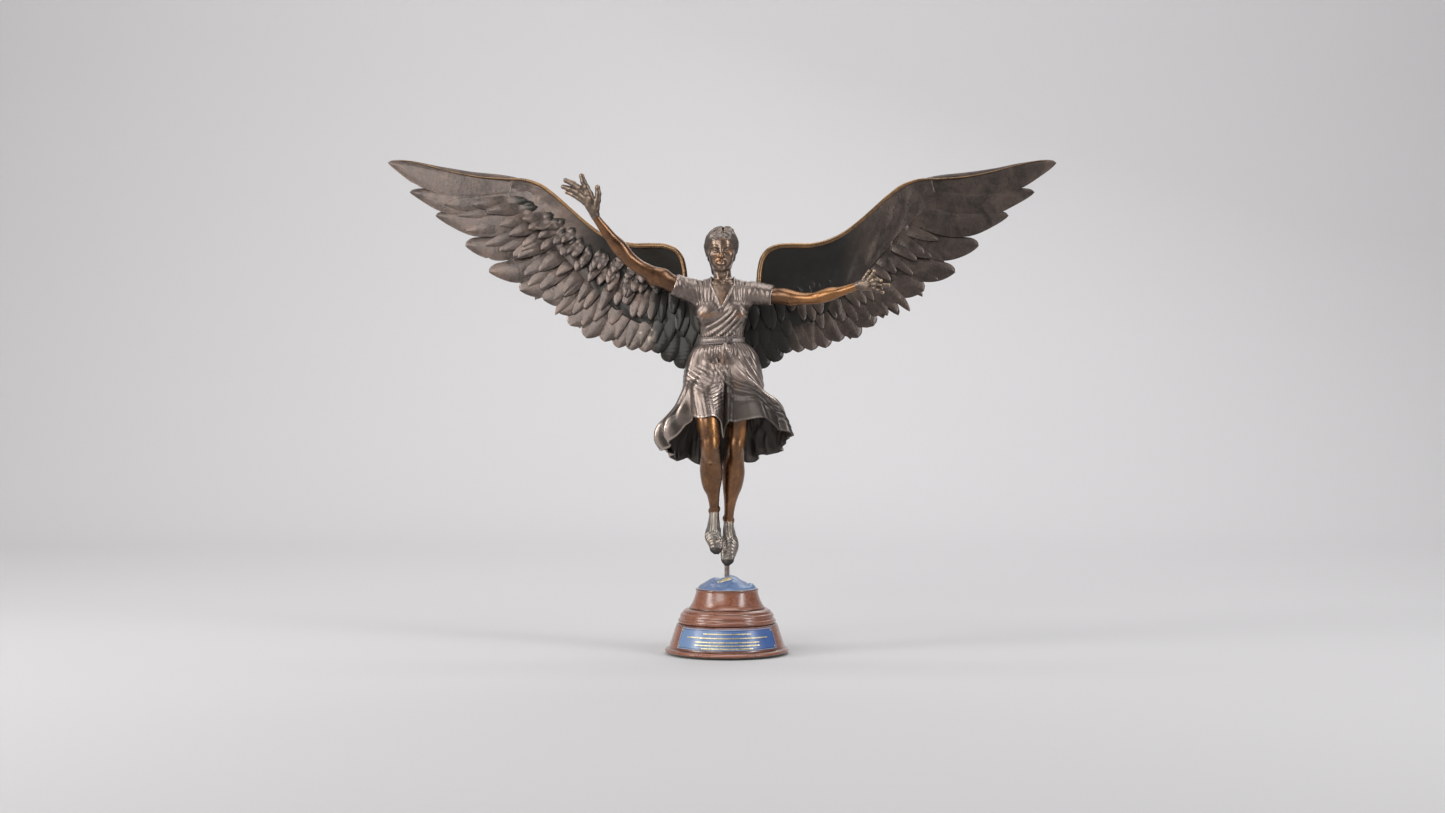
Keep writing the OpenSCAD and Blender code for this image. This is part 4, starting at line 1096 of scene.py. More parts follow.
def bodice():
    clay = Clay((-48, -24, 243), (42, 16, 306), BODICE_STEP)
    clay.column(TORSO)
    for side in (-1, 1):
        clay.egg((FIGURE_X + 12.0 * side, -10.8, 271.6), (8.6, 6.6, 8.8), 4.5, (12, 0, 10 * side))
        clay.egg((FIGURE_X + 12.6 * side, 3.8, 283), (9.5, 5.5, 12), 6.0)
    clay.egg((-4, 5.0, 268), (3.0, 6.0, 22), 3.0, hollow=False)
    for sleeve in (RIGHT_SLEEVE, LEFT_SLEEVE):
        clay.tube(sleeve, 4.5, 24)

    def sleeve_folds(x, y, z):
        away = np.maximum(-24 - x, x - 17)
        side = ease(away, 0, 6)
        run = np.where(x < 0, x * 0.85 + (z - 290) * 0.3, x * 0.95 + (z - 286) * 0.28)
        ridges = (np.cos(run * 2 * math.pi / 3.9 + 1.3 * noise(x, y, z, 8.0))
                  * (0.6 + 0.4 * noise(x, y, z, 6.0, 4)))
        return side * 0.2 * ridges * ease(-y, -8, 4) + side * 0.22 * noise(x, y, z, 8.0)

    clay.raise_by(bodice_folds, (-30, -24, 244), (24, 16, 301))
    clay.raise_by(sleeve_folds)
    for sleeve, away in ((RIGHT_SLEEVE, (-0.93, -0.2, 0.3)), (LEFT_SLEEVE, (0.97, -0.2, -0.15))):
        end = np.array(sleeve[-1][:3])
        away = unit(away)
        x, y, z = clay.all()
        along = (x - end[0]) * away[0] + (y - end[1]) * away[1] + (z - end[2]) * away[2]
        gap = np.sqrt((x - end[0]) ** 2 + (y - end[1]) ** 2 + (z - end[2]) ** 2 - along**2)
        cuff = 0.35 * bell(along, -1.8, 1.1) * (gap < 14)
        clay.d -= cuff.astype(np.float32)
        clay.d = np.where(gap < 16, -soft_min(-clay.d, -(along - 0.6).astype(np.float32), 1.3), clay.d)
        inside = end - away * 4
        clay.tube([[*inside, 6.9], [*(end + away * 3), 7.1]], 0.8, hollow=True)
    x, y, z = clay.all()
    gap = np.maximum(lapel(x, z), y + 1.5)
    clay.d -= (0.75 * bell(gap, 0.9, 0.75) * ease(-y, 1, 4)).astype(np.float32)
    clay.d = np.maximum(clay.d, np.minimum(-gap, clay.d + 2.2)).astype(np.float32)
    overlap = (x + 5) * 0.62 - (z - 276.6) * 0.78
    edge = bell(overlap, 0.2, 0.6) * ease(x, -16, -10) * (1 - ease(x, -4, -2)) * ease(-y, 4, 8)
    clay.d -= (0.5 * edge * ease(z, 258, 264)).astype(np.float32)

    def rubbed(points, marks):
        for side in (-1, 1):
            near = np.linalg.norm((points - [FIGURE_X + 11.5 * side, -16.5, 269.6]) * [0.62, 0.8, 1.25],
                                  axis=1)
            patchy = 0.75 + 0.5 * rough_noise(points[:, 0], points[:, 1], points[:, 2], 5.0)
            marks["rub"] = np.maximum(marks["rub"], 0.62 * bell(near, 0, 5.4) * patchy)
        return marks

    cast("bodice", clay, DRESS, ("torso",), extra=rubbed)


def arm(name, node, line, hand_side):
    low = np.min(np.array(line)[:, :3], 0) - 10
    high = np.max(np.array(line)[:, :3], 0) + 10
    clay = Clay(low, high, LIMB_STEP)
    clay.tube(line, 0, 60)
    p = np.array(line)
    upper, elbow, fore = p[3, :3], p[5, :3], p[8, :3]
    stout = p[3, 3] / 6.5
    clay.egg(upper + [0, -1.2, 1.4], (7.5, 4.5 * stout, 4.5 * stout), 5, (0, 25 * hand_side, 0))
    clay.egg(upper + [0, 1.4, -1.6], (8.5, 4.1 * stout, 4.1 * stout), 5, (0, 15 * hand_side, 0))
    clay.egg(elbow + [0.4 * hand_side, 2.4, -1.4], (2.6, 2.0, 2.0), 3.0)
    clay.egg(fore + [0, -0.4, 0.9], (8.0, 4.1 * stout, 4.2 * stout), 5,
             (0, (48 if hand_side < 0 else -20), 0))
    clay.raise_by(lambda x, y, z: 0.04 * rough_noise(x, y, z, 7.0))

    def rubbed(points, marks):
        from_body = np.abs(points[:, 0] - FIGURE_X)
        marks["rub"] = 0.5 * ease(noise(points[:, 0], points[:, 1], points[:, 2], 24.0), -0.3, 0.6)
        marks["rub"] *= ease(from_body, 38, 60)
        # Painted shade: the arm darkens towards the body, where it goes into the sleeve.
        marks["grime"] = np.maximum(marks["grime"], 0.36 * (1 - ease(from_body, 40, 64)))
        return marks

    cast(name, clay, SKIN, (node,), extra=rubbed)


def leg(name, node, column, knee, shin_side):
    p = np.array(column)
    clay = Clay((p[:, 1].min() - 15, p[:, 2].min() - 15, p[0, 0] - 3),
                (p[:, 1].max() + 15, p[:, 2].max() + 15, 205), LIMB_STEP)
    clay.column(p)
    kx, ky, kz = knee
    clay.egg((kx, ky - 4.6, kz + 1.0), (4.8, 3.6, 6.0), 4.5)
    clay.egg((kx, ky - 3.6, kz - 7), (2.4, 2.0, 4.5), 5.0)
    cx, cy, a, b = limb_at(p, kz - 18)
    clay.egg((cx + 3.2 * shin_side, cy + 3.5, kz - 17), (4.6, 6.0, 12.5), 4.5)
    clay.egg((cx - 3.0 * shin_side, cy + 3.0, kz - 21), (4.2, 5.6, 13), 4.5)
    stations = []
    for z in np.linspace(kz - 10, p[1, 0] + 4, 6):
        cx, cy, a, b = limb_at(p, z)
        stations.append([cx - 0.8 * shin_side, cy - b + 2.4, z, 1.3])
    clay.tube(stations, 3.2)
    ankle_z = p[1, 0]
    cx, cy, a, b = limb_at(p, ankle_z)
    for side in (-1, 1):
        clay.egg((cx + side * (a - 0.4), cy + 0.6, ankle_z + 1.5 + 0.8 * side * shin_side), (1.5, 1.9, 2.0),
                 1.6)
    cx, cy, a, b = limb_at(p, 122)
    clay.tube([[cx, cy + b - 1.4, 130, 1.6], [cx, cy + b - 1.9, 118, 1.2],
               [cx, cy + b - 2.0, ankle_z + 1, 1.4]], 1.8)
    clay.raise_by(lambda x, y, z: 0.07 * rough_noise(x, y, z, 7.0))

    def rubbed(points, marks):
        along = noise(points[:, 0] * 1.4, points[:, 1] * 0 + 3, points[:, 2] * 0.35, 6.0)
        marks["rub"] = ease(along, -0.15, 0.6) * bell(points[:, 2], kz + 12, 16)
        return marks

    cast(name, clay, SKIN, (node,), extra=rubbed)


RIGHT_FOOT = [[80.6, -8.3, -13.6, 1.6, 1.5], [82, -8.3, -13.5, 2.9, 2.6], [84.6, -8.6, -12.8, 4.2, 3.3],
              [88, -9.6, -11.4, 5.4, 3.8], [92, -10.8, -9.4, 6.3, 4.5], [95.5, -11.1, -7.2, 6.2, 5.3],
              [99, -10.9, -4.4, 5.7, 6.2], [103.5, -10.6, -1.4, 4.9, 6.9], [108, -10.4, 1.0, 4.3, 6.5],
              [113, -10.2, 2.0, 3.9, 4.9]]
LEFT_FOOT = [[70.4, 0, -0.2, 1.8, 1.8], [72, 0.2, 0.3, 3.2, 3.0], [75, 0.5, 1.1, 4.7, 3.8],
             [79, 1.2, 2.0, 5.9, 4.4], [83.5, 2.1, 2.9, 6.7, 5.1], [88, 2.3, 4.2, 6.6, 6.0],
             [92.5, 2.0, 5.9, 5.7, 7.0], [97, 1.6, 7.7, 4.9, 7.4], [101, 1.3, 8.8, 4.3, 6.6],
             [105, 1.2, 9, 3.9, 5.1]]


# Toes under the slipper: place across the foot, how far back the end lies, radius
TOES = [(-2.9, 1.3, 1.9), (-1.0, 0.2, 1.6), (0.7, 0.3, 1.5), (2.2, 0.9, 1.4), (3.4, 2.0, 1.3)]


def foot(name, node, column, lean):
    """A foot in a soft slipper, pointed down."""
    p = np.array(column)
    clay = Clay((p[:, 1].min() - 9, p[:, 2].min() - 10, p[0, 0] - 1),
                (p[:, 1].max() + 9, p[:, 2].max() + 10, p[-1, 0] + 1), FOOT_STEP)
    clay.column(p)
    toe = p[2]
    for across, drop, r in TOES:
        x = toe[1] + across * lean
        clay.tube([[x, toe[2] - 1.2, toe[0] - 2.2 + drop, r * 0.9],
                   [x, toe[2] - 1.0, toe[0] + 4 + drop, r]], 1.6)
    heel = p[-3]
    clay.egg((heel[1], heel[2] + 3.2, heel[0] - 1.5), (3.8, 3.4, 4.6), 3.0)

    def relief(x, y, z):
        cx, cy, a, b = limb_at(p, z)
        front = ease(cy - y, 0.5, 2.5)
        opening = z - (p[6, 0] - 2.5) - 0.22 * ((x - cx) ** 2) * 0.5
        edge = 0.42 * (1 - ease(opening, -0.4, 0.4))
        lines = 0.2 * np.cos((z + 0.12 * (x - cx) ** 2) * 2 * math.pi / 2.7) * bell(opening, -7, 6) * front
        tendons = 0.3 * np.cos((x - cx) * 2 * math.pi / 2.4) * ease(opening, 0.5, 4) * front
        return edge + lines + tendons + 0.12 * rough_noise(x, y, z, 3.0)

    clay.raise_by(relief)

    def shaded(points, marks):
        # Painted shade on the last few millimetres of the slipper's tip.
        marks["grime"] = np.maximum(marks["grime"], 0.85 * (1 - ease(points[:, 2], p[0, 0] + 3, p[0, 0] + 7)))
        return marks

    cast(name, clay, SHOE, (node,), rounds=1, extra=shaded)


RIGHT_FINGERS = [[[-103.2, -33.2, 352.6, 2.5], [-101.6, -34.6, 358.4, 2.1], [-100.9, -35.8, 363.6, 1.9],
                  [-101.3, -36.8, 368.6, 1.55]],
                 [[-108, -34.2, 363.6, 2.3], [-110.4, -35, 368.8, 2.1], [-112.4, -35.2, 373.2, 1.9],
                  [-113.8, -34.6, 377.8, 1.55]],
                 [[-110.4, -33.8, 363, 2.3], [-115.4, -34, 368.0, 2.0], [-120.6, -33.4, 371.8, 1.85],
                  [-126.4, -32, 374.6, 1.5]],
                 [[-111.4, -33.2, 360.4, 2.2], [-117.0, -32.8, 364.8, 1.9], [-122.6, -31.8, 368, 1.75],
                  [-128.6, -30, 369.8, 1.4]],
                 [[-111.2, -32.4, 357.4, 2.0], [-116.4, -31.4, 361.0, 1.7], [-120.8, -30.2, 363.6, 1.55],
                  [-125.8, -28.4, 365.8, 1.25]]]
RIGHT_PALM = [[[-103.6, -30.4, 347.5, 3.1], [-106.2, -32.4, 354, 3.4], [-108, -33.6, 360.5, 3.2],
               [-109, -34, 364.6, 2.4]],
              [[-104.4, -30.2, 348.5, 2.6], [-108.8, -32.2, 354.6, 2.7], [-111, -33, 360, 2.5]],
              [[-103, -30.6, 348.5, 2.6], [-103.8, -33, 353.4, 3.0], [-105.4, -34, 359, 2.6],
               [-107.2, -34.4, 363.8, 2.1]]]
LEFT_FINGERS = [[[106.2, -28.6, 294.6, 2.2], [108.0, -30, 298.0, 1.8], [109.6, -31.2, 300.6, 1.6],
                 [111.2, -32.2, 303.0, 1.3]],
                [[110.2, -30.6, 295.6, 2.0], [112.6, -32, 298.6, 1.75], [114, -33, 300.8, 1.55],
                 [115.0, -34, 303, 1.25]],
                [[111.6, -30.8, 294.6, 2.0], [115.2, -32.4, 296.2, 1.75], [117.8, -33.4, 296.6, 1.55],
                 [120.4, -34.4, 295.6, 1.3]],
                [[112.2, -30.9, 292.9, 2.0], [116.8, -32.5, 293.2, 1.75], [121.2, -33.7, 292.3, 1.55],
                 [126.6, -34.6, 292.2, 1.25]],
                [[112, -30.8, 291.0, 1.9], [115.8, -32, 289.8, 1.6], [118.8, -32.8, 288.4, 1.45],
                 [122, -33.4, 286.6, 1.15]]]
LEFT_PALM = [[[103.6, -27.4, 292.6, 2.9], [107.6, -29.2, 293.4, 3.3], [110.6, -30.4, 294.2, 2.7]],
             [[104, -27.4, 291.6, 2.6], [108.4, -29.6, 290.9, 2.9], [111.2, -30.7, 291.4, 2.5]],
             [[104, -27.4, 293.4, 2.5], [106.6, -28.8, 295.0, 2.5], [109.6, -30.2, 295.4, 2.2]]]


def hand(name, node, palm, fingers, wrist, back_of_hand, fuller=1.0):
    """A hand: a palm with its pads, and jointed fingers with knuckles and creases."""
    every = np.concatenate([np.array(f) for f in fingers + palm + [[wrist]]])
    clay = Clay(every[:, :3].min(0) - 4.5, every[:, :3].max(0) + 4.5, HAND_STEP)
    for pad in palm:
        clay.tube(pad, 1.6, 14)
    away = unit(back_of_hand)
    for finger in fingers:
        f = np.array(finger) * [1, 1, 1, fuller]
        for a, b in zip(f[:-1], f[1:]):
            clay.tube([a, b], 0.5)
        for joint in f[1:-1]:
            clay.egg(joint[:3] + away * 0.35, (joint[3] * 1.06,) * 3, 0.5)
        tip = f[-1]
        clay.egg(tip[:3] - away * 0.25, (tip[3] * 1.05,) * 3, 0.5)
        clay.egg(f[0][:3] + away * 0.6, (f[0][3] * 0.98,) * 3, 1.4)
    clay.tube([wrist, palm[0][0]], 1.2)

    def creases(x, y, z):
        return 0.09 * rough_noise(x, y, z, 2.4)

    clay.raise_by(creases)

    def shaded(points, marks):
        marks["rub"] = np.clip(marks["wear"] * 0.4, 0, 1)
        return marks

    cast(name, clay, HAND, (node,), rounds=1, reach=5, extra=shaded)


right_wrist = [-103.4, -29.4, 346.4, 3.1]
left_wrist = [101.6, -26.6, 292.2, 3.1]


# Places on the head are given from the head's middle, with the head upright and facing -Y.
HEAD_AT = np.array([-4.6, -4.0, 321.0])
HEAD_SCALE = 1.13
CHIN_UP = 7.0


def on_head(p):
    x, y, z = turn(*[c * HEAD_SCALE for c in p[:3]], (-CHIN_UP, 0, 0))
    return np.array([x, y, z]) + HEAD_AT


def head_egg(clay, at, radii, soft, tilt=0.0, hollow=False, twist=0.0):
    clay.egg(on_head(at), tuple(HEAD_SCALE * r for r in radii), soft, (CHIN_UP + tilt, 0, twist), hollow)


def head_tube(clay, stations, soft, hollow=False, count=None):
    clay.tube([[*on_head(s[:3]), HEAD_SCALE * s[3]] for s in stations], soft, count, hollow)


def head_and_neck():
    clay = Clay((-24, -25, 268), (15, 16, 342), HEAD_STEP)
    shrunk = np.array(TORSO) - [2.2, 0, 0, 1.0, 1.0]
    clay.column(shrunk[5:])
    clay.egg((-8.2, -9.2, 288.5), (6, 2.8, 9), 4)
    clay.egg((0.8, -9.2, 288.5), (6, 2.8, 9), 4)
    clay.column(NECK_LINE, 4.0)
    for side in (-1, 1):
        clay.tube([[-3.7 + side * 1.6, -8.6, 297.6, 0.9], [-4 + side * 4.2, -6.6, 304, 1.3],
                   [-4.2 + side * 6.6, -1.4, 312, 1.7]], 1.6)
        clay.tube([[-3.8 + side * 2.0, -9.7, 295.0, 0.8], [-3.8 + side * 4.4, -9.9, 295.5, 0.8],
                   [-3.8 + side * 7.4, -9.0, 296.2, 0.6]], 1.8)
    clay.egg((-3.7, -10.4, 295.6), (1.3, 0.7, 1.5), 1.4, hollow=True)
    head_egg(clay, (0, 1.6, 4.2), (10.4, 12.2, 11.0), 2.0)
    head_egg(clay, (0, -3.0, -0.8), (8.8, 9.4, 12.2), 3.0)
    head_egg(clay, (0, -4.2, -8.0), (6.1, 7.4, 5.4), 3.0)
    head_egg(clay, (0, -9.8, -11.2), (2.9, 2.2, 2.3), 2.2)
    head_egg(clay, (0, -8.0, 6.6), (6.6, 3.9, 4.8), 3.5)
    for side in (-1, 1):
        head_egg(clay, (side * 5.6, -8.4, -2.0), (3.0, 3.0, 2.9), 2.6)
        head_egg(clay, (side * 4.8, -6.6, -6.4), (2.4, 3.2, 3.2), 2.4)
        head_tube(clay,
                  [[side * 1.2, -11.7, 3.0, 0.8], [side * 3.8, -11.5, 4.0, 0.9],
                   [side * 6.6, -9.4, 3.4, 0.7]], 2.2)
        head_egg(clay, (side * 3.9, -13.3, 1.0), (2.7, 2.1, 1.6), 1.6, hollow=True)
    head_tube(clay, [[0, -11.4, 4.4, 1.2], [0, -12.4, 1.4, 1.15], [0, -13.9, -1.7, 1.3]], 1.8)
    head_egg(clay, (0, -14.3, -2.5), (1.6, 1.5, 1.35), 1.2)
    for side in (-1, 1):
        head_egg(clay, (side * 1.75, -12.7, -3.0), (0.95, 1.4, 1.0), 1.0)
        head_egg(clay, (side * 0.8, -13.6, -4.0), (0.45, 0.7, 0.35), 0.3, hollow=True)
        head_egg(clay, (side * 3.9, -10.5, 1.1), (2.1, 2.1, 1.95), 0.35)
        lid = [[side * 1.9, -11.9, 1.0, 0.32], [side * 3.0, -12.75, 1.95, 0.42],
               [side * 4.3, -12.7, 2.05, 0.42], [side * 5.9, -11.5, 1.1, 0.34]]
        head_tube(clay, lid, 0.35)
        lower = [[side * 1.9, -11.9, 0.9, 0.28], [side * 3.1, -12.45, 0.15, 0.33],
                 [side * 4.4, -12.35, 0.1, 0.33], [side * 5.9, -11.5, 0.9, 0.28]]
        head_tube(clay, lower, 0.35)
        head_egg(clay, (side * 3.95, -12.72, 1.05), (0.42, 0.35, 0.42), 0.2, hollow=True)
    head_egg(clay, (0, -11.6, -7.0), (3.3, 2.0, 2.4), 1.6)
    head_tube(clay, [[-3.0, -12.0, -6.9, 0.3], [-1.4, -13.35, -6.35, 0.62], [0, -13.65, -6.45, 0.55],
                     [1.4, -13.35, -6.35, 0.62], [3.0, -12.0, -6.9, 0.3]], 0.5)
    head_tube(clay, [[-2.5, -12.3, -7.5, 0.4], [0, -13.35, -8.0, 0.85], [2.5, -12.3, -7.5, 0.4]], 0.5)
    head_tube(clay, [[-3.2, -12.1, -7.0, 0.18], [-1.2, -13.9, -7.05, 0.2], [0, -14.1, -7.1, 0.2],
                     [1.2, -13.9, -7.05, 0.2], [3.2, -12.1, -7.0, 0.18]], 0.3, hollow=True)
    head_egg(clay, (0, -13.4, -5.2), (0.4, 0.6, 1.0), 0.5, hollow=True)
    head_egg(clay, (0, -12.6, -9.5), (2.2, 0.8, 0.6), 0.9, hollow=True)
    for side in (-1, 1):
        head_egg(clay, (side * 9.6, 1.2, -0.6), (1.1, 2.2, 3.1), 0.8, 12)
        head_egg(clay, (side * 10.4, 0.9, -0.2), (0.7, 1.2, 1.8), 0.5, 12, hollow=True)
    clay.raise_by(lambda x, y, z: 0.05 * rough_noise(x, y, z, 3.0))

    def rubbed(points, marks):
        local = points - HEAD_AT
        patches = rough_noise(points[:, 0], points[:, 1], points[:, 2], 9.0, 2)
        marks["rub"] = 0.55 * ease(patches, -0.2, 1.1) * ease(-local[:, 1], 2, 9)
        return marks

    cast("head_and_neck", clay, FACE, ("head",), rounds=2, reach=5, scale=2.0, extra=rubbed)


def hair():
    """Swept-back hair: a close cap under many fine locks that run from a side parting to the nape."""
    clay = Clay((-24, -24, 290), (15, 25, 344), HAIR_STEP)
    head_egg(clay, (0, 2.4, 4.6), (11.5, 12.4, 11.4), 0)
    head_egg(clay, (0, -5.4, 8.2), (8.6, 7.0, 5.3), 3.0)
    head_egg(clay, (0, 8.5, -6), (8.6, 6.5, 10), 4.0)
    head_egg(clay, (0, 9.0, -14), (6.4, 4.6, 8), 3.0)
    x, y, z = clay.all()
    local = turn(x - HEAD_AT[0], y - HEAD_AT[1], z - HEAD_AT[2], (CHIN_UP, 0, 0))
    lx, ly, lz = [c / HEAD_SCALE for c in local]
    hairline = 9.0 - 0.04 * lx**2 - 0.62 * (ly + 11) - 0.08 * np.clip(ly, 0, 30) ** 2
    clay.d = -soft_min(-clay.d, (lz - hairline).astype(np.float32), 1.2)
    rng = np.random.RandomState(11)
    part = 1.6
    for side in (-1, 1):
        for k in range(26):
            u = k / 25
            start_y = -9.4 + 18.0 * u
            crown = math.sqrt(max(0.02, 1 - ((start_y - 2.0) / 13.6) ** 2))
            rows = []
            for t in np.linspace(0, 1, 9):
                swing = math.radians(4 + 92 * t)
                wide = 11.9 * math.sin(swing) * crown ** 0.35
                tall = 5.0 + 11.9 * crown * math.cos(swing) - 9.5 * t**2 * (0.55 + 0.6 * u)
                deep = start_y + (1.5 + 13.5 * (1 - u)) * t**1.25 + 0.9 * math.sin(5 * t + k)
                if t > 0.72:
                    wide *= 1 - 0.85 * (t - 0.72)
                    deep += 6 * (t - 0.72)
                rows.append([side * max(wide, 0.5) + part * (1 - t) * (1 - u), deep, tall, 0.0])
            rows = np.array(rows)
            rows[:, 3] = 0.95 * (0.55 + 0.45 * np.sin(np.linspace(0.35, 2.9, 9))) * rng.uniform(0.85, 1.15)
            rows[:, :3] += rng.normal(0, 0.16, (9, 3))
            head_tube(clay, rows, 0.45, count=26)
    for k in range(15):
        sx = (k - 7) / 7 * 7.4
        rows = [[sx, 12.2 - 0.05 * sx * sx, 1.5, 1.15], [sx * 0.95, 14.0 - 0.06 * sx * sx, -5, 1.2],
                [sx * 0.8, 13.6 - 0.06 * sx * sx, -12, 1.15], [sx * 0.62, 12.2, -18.5, 1.0],
                [sx * 0.4, 10.6, -22.5, 0.6]]
        rows = np.array(rows) + np.concatenate([rng.normal(0, 0.25, (5, 3)), np.zeros((5, 1))], 1)
        head_tube(clay, rows, 0.5, count=24)
    for turn_k in range(3):
        ring = []
        for a in np.linspace(0, 2 * math.pi * 1.1, 16):
            r = 3.3 - 1.0 * turn_k
            ring.append([4.4 + r * math.cos(a + turn_k), 3.4 + r * math.sin(a + turn_k),
                         15.0 + 0.75 * turn_k, 1.0])
        head_tube(clay, ring, 0.4, count=40)

    def strands(x, y, z):
        """Combed strands that run from the parting over the ears and down behind."""
        lx, ly, lz = [c / HEAD_SCALE
                      for c in turn(x - HEAD_AT[0], y - HEAD_AT[1], z - HEAD_AT[2], (CHIN_UP, 0, 0))]
        wave = 1.1 * noise(lx, ly, lz, 6.0) + 0.5 * np.sin(0.45 * np.abs(lx) + 0.3 * lz)
        run = 0.86 * ly + 0.5 * lz + wave
        broad = np.cos(run * 2 * math.pi / 3.4 + 1.5 * noise(lx, ly, lz, 9.0, 2))
        fine = np.cos(run * 2 * math.pi / 1.25 + 2.0 * noise(lx, ly, lz, 4.0, 5))
        behind = ease(ly, 7, 11)
        back = np.cos((lx + 0.8 * wave) * 2 * math.pi / 1.9)
        parting = 0.75 * bell(lx - part, 0, 0.7) * (1 - ease(ly, 3, 7)) * ease(lz, 7, 9)
        return (1 - behind) * (0.28 * broad + 0.2 * fine) + behind * 0.34 * back - parting

    clay.raise_by(strands)
    cast("hair_drawn_back", clay, HAIR, ("hair",), rounds=1, reach=4, scale=1.6)


bodice()
arm("right_arm_bare", "right_arm", RIGHT_ARM, -1)
arm("left_arm_bare", "left_arm", LEFT_ARM, 1)
leg("right_leg_bare", "right_leg", RIGHT_LEG, (-13.4, -15.6, 164), 1)
leg("left_leg_bare", "left_leg", LEFT_LEG, (6.6, 3.6, 164), -1)
foot("right_slipper", "right_foot", RIGHT_FOOT, 1)
foot("left_slipper", "left_foot", LEFT_FOOT, -1)
hand("right_hand_open", "right_hand", RIGHT_PALM, RIGHT_FINGERS, right_wrist, (0.3, 0.9, 0.1), 1.24)
hand("left_hand_open", "left_hand", LEFT_PALM, LEFT_FINGERS, left_wrist, (0.1, 0.6, -0.7), 1.1)
head_and_neck()
hair()


# ---------------------------------------------------------------- skirt and waist
SKIRT_TOP = 248.0
# Grid of the cloth: columns round it, and rows down its outer and inner faces
SKIRT_COLUMNS = 520
OUTER_ROWS = 150
INNER_ROWS = 40
# Half the thickness of the cloth
CLOTH_HALF = 0.65
# Free hang of the cloth: share of the drop, then half-widths right, left, in front and behind
FREE = [[0, 17.2, 17.2, 12.0, 12.0], [0.04, 21.0, 21.0, 13.2, 13.4], [0.1, 25.0, 25.0, 15.0, 15.0],
        [0.2, 28.4, 27.6, 17.6, 17.4], [0.32, 30.2, 29.4, 20.6, 19.8], [0.43, 31.0, 30.2, 22.5, 21.2],
        [0.52, 34.0, 31.0, 24.5, 23.0], [0.57, 36.0, 34.5, 25.5, 24.2], [0.62, 38.5, 40.5, 26.3, 25.6],
        [0.7, 44.0, 45.8, 27.2, 27.6], [0.78, 50.0, 49.0, 28.2, 29.4], [0.84, 51.8, 50.8, 28.8, 30.6],
        [0.93, 50.4, 53.0, 29.4, 32.2], [1, 45.5, 54.4, 29.6, 33.4]]
# Height of the hem at degrees from the front, the figure's right negative
HEM = [[-180, 150], [-140, 152], [-112, 157.5], [-92, 162.5], [-80, 165.5], [-70, 172], [-62, 183],
       [-55, 187.6], [-30, 188], [-9, 188.6], [-3, 184], [3, 172], [8, 179], [14, 184], [32, 184.5],
       [44, 187], [54, 188], [64, 184], [74, 179], [83, 175.6], [94, 170], [112, 162], [132, 156],
       [152, 152.5], [180, 150]]


def hem_height(a):
    """Height of the hem at angle a from the front: high over the thighs, low behind, rippled at the sides."""
    ripple = 1.5 * np.cos(11 * a + 0.6) + 0.9 * np.cos(19 * a)
    return curve_at(HEM, np.degrees(a))[..., 0] + ripple * ease(np.abs(a), 1.2, 1.8) + 0.4 * np.cos(13 * a)


def stretched_round(circles, a):
    """Distance from the axis, in direction a, of a band pulled tight around circles (x, y, r)."""
    theta = np.linspace(-math.pi, math.pi, 361)
    outward_x, outward_y = np.sin(theta), -np.cos(theta)
    reach = np.max([cx * outward_x + cy * outward_y + r for cx, cy, r in circles], axis=0)
    facing = np.cos(theta[:, None] - a[None, :])
    return np.min(np.where(facing > 0.12, reach[:, None] / np.maximum(facing, 0.12), 1e3), axis=0)


def wrap_edge(z):
    """Angle of the over-panel's free edge at each height, from the waist knot out to the figure's left."""
    edge = [[170, 112], [186, 96], [197, 84], [206, 72], [212, 62], [221, 43], [232, 26], [239, 15], [244, 7],
            [248, 4]]
    return np.radians(curve_at(edge, z)[..., 0])


